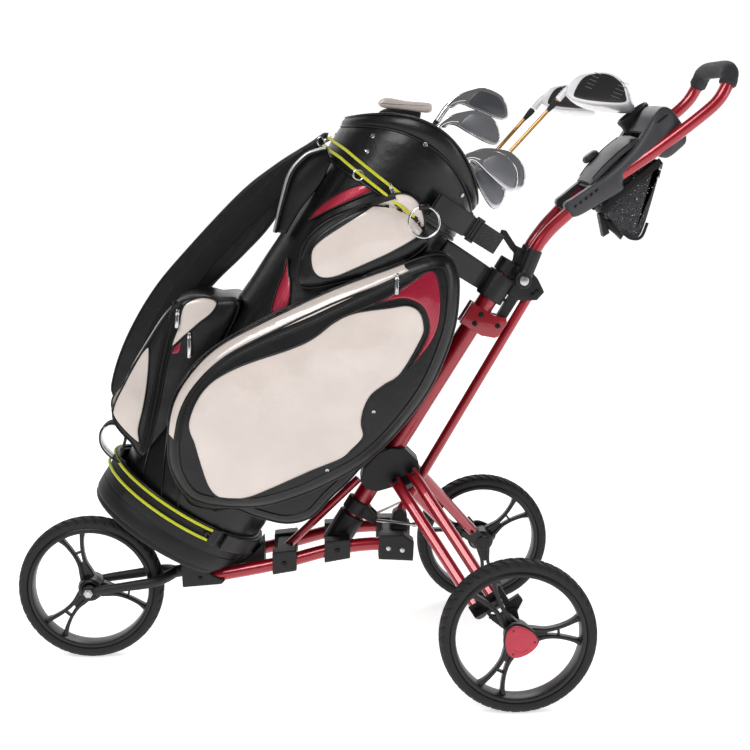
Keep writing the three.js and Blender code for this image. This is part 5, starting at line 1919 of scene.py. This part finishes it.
def turned_outline(outline, neck, turn, scale=1.0):
    """Neck-relative (u, s) points turned by degrees and placed at the neck."""
    c, k = math.cos(math.radians(turn)), math.sin(math.radians(turn))
    p = np.array(outline, float) * scale
    return np.column_stack([neck[0] + p[:, 0] * c - p[:, 1] * k, neck[2] + p[:, 0] * k + p[:, 1] * c])


def add_iron(k, foot, neck, turn):
    body = f"iron_{k}"
    grip, shaft, ferrule, at = shaft_parts(foot, neck, -10)
    length = math.dist(foot, neck)
    y = neck[1]
    blade = slab(curve(turned_outline(BLADE, neck, turn), 90, True), y - 5.8, y + 5.8, 2.8, 5)
    bend = turned_outline([(10, 4), (26, 12)], neck, turn)
    hosel_line = curve(
        [at(length - 52), at(length - 14), (bend[0][0], y, bend[0][1]), (bend[1][0], y, bend[1][1])],
        30,
    )
    hosel = sweep(hosel_line, circle(6.1, 24))
    head = piece(f"{body}_head", merged(blade, hosel), BAG, "chrome", body, body, 40)
    face = curve(turned_outline(BLADE_FACE, neck, turn), 70, True)
    look = "iron_dark" if k == 1 else "iron_face"
    piece(f"{body}_face", slab(face, y - 6.6, y - 4.6, 0.6, 2), BAG, look, body, (), 40)
    back = slab(inset(face, 4), y + 4.6, y + 6.6, 0.8, 2)
    piece(f"{body}_back", back, BAG, "iron_dark", body, (), 40)
    piece(f"{body}_shaft", shaft, BAG, "chrome" if k < 3 else "shaft", body, (), 40)
    piece(f"{body}_grip", merged(grip, ferrule), BAG, "tyre", body, (), 40)
    return head


def wood_head(neck, scale):
    """Rings of the head from its face back, which drifts towards the toe."""
    outline = curve(HEAD, 80, True)
    steps = [
        (0.9, 0), (0.955, 0.02), (0.99, 0.07), (1.0, 0.15),
        (1.0, 0.28), (0.985, 0.42), (0.94, 0.56), (0.86, 0.7),
        (0.73, 0.82), (0.53, 0.92), (0.28, 0.975), (0.05, 0.99),
    ]
    verts = []
    for share, back in steps:
        ring = HEAD_MIDDLE + (outline - HEAD_MIDDLE) * share
        y = np.full(len(ring), back * HEAD_DEPTH - 20)
        verts.append(np.column_stack([ring[:, 0] + back * HEAD_SWEEP, y, ring[:, 1]]))
    return np.vstack(verts) * scale + np.array(neck, float), ring_faces(len(steps), len(outline))


def paint_crown(head, neck, scale):
    """Dark lacquer on the top of the head, above a line that rises towards the toe."""
    head.data.materials.append(M["wood_crown"])
    back = BAG.inverted()
    for polygon in head.data.polygons:
        p = (back @ polygon.center - Vector(neck)) / scale
        edge = 26 + 0.42 * (p.x - 20)
        if p.z > edge and p.y > -14:
            polygon.material_index = 1


def score_lines(neck, scale, face_y):
    """Short lines on the face, either side of its plain middle."""
    lines = []
    for row in range(5):
        for start, stop in ((22, 36), (74, 92)):
            ends = turned_outline([(u, 12 + row * 8 + u * 0.25) for u in (start, stop)], neck, 0, scale)
            points = [(e[0], face_y - 1.7, e[1]) for e in (ends[0], ends.mean(0), ends[1])]
            lines.append(sweep(points, circle(0.6, 6)))
    return lines


def add_wood(body, foot, neck, scale):
    grip, shaft, ferrule, at = shaft_parts(foot, neck, 2)
    length = math.dist(foot, neck)
    head = piece(f"{body}_head", wood_head(neck, scale), BAG, "white", body, body, 60)
    paint_crown(head, neck, scale)
    face_y = neck[1] - 20 * scale
    face = curve(turned_outline(HEAD_FACE, neck, 0, scale), 80, True)
    piece(
        f"{body}_face", slab(face, face_y - 1.6, face_y + 1, 1.0, 3), BAG, "wood_black", body, (),
        50,
    )
    lines = score_lines(neck, scale, face_y)
    piece(f"{body}_face_lines", merged(*lines), BAG, "steel", body, (), 50)
    bend = turned_outline([(4, 4), (16, 16)], neck, 0, scale)
    hosel_line = [
        at(length - 30), at(length - 8), (bend[0][0], neck[1] - 3, bend[0][1]),
        (bend[1][0], neck[1], bend[1][1]),
    ]
    piece(
        f"{body}_hosel", sweep(curve(hosel_line, 24), circle(6.4, 24)), BAG, "white", body, (),
        50,
    )
    piece(f"{body}_shaft", shaft, BAG, "shaft", body, (), 40)
    piece(f"{body}_grip", merged(grip, ferrule), BAG, "tyre", body, (), 40)


def add_clubs():
    casting("club_divider", "fleece", "root", voxel=2.0, rounds=4)
    for k, (foot, neck, turn) in enumerate(IRONS, 1):
        add_iron(k, foot, neck, turn)
    add_wood("driver", *DRIVER, 1.0)
    add_wood("fairway_wood", *FAIRWAY, FAIRWAY_SCALE)


# ---------------------------------------------------------------- assembly

add_camera()
add_studio()
add_wheels()
add_fork()
add_rails()
add_base_mouldings()
add_column()
add_head_mouldings()
add_legs()
add_body()
add_skirt()
add_front_loop()
add_boot()
add_cuff()
add_side_pockets()
add_ball_pocket()
add_shoulder_strap()
add_grab_handle()
add_bungees()
add_upper_straps()
add_rings()
add_handle()
add_console()
add_pouch()
add_clubs()
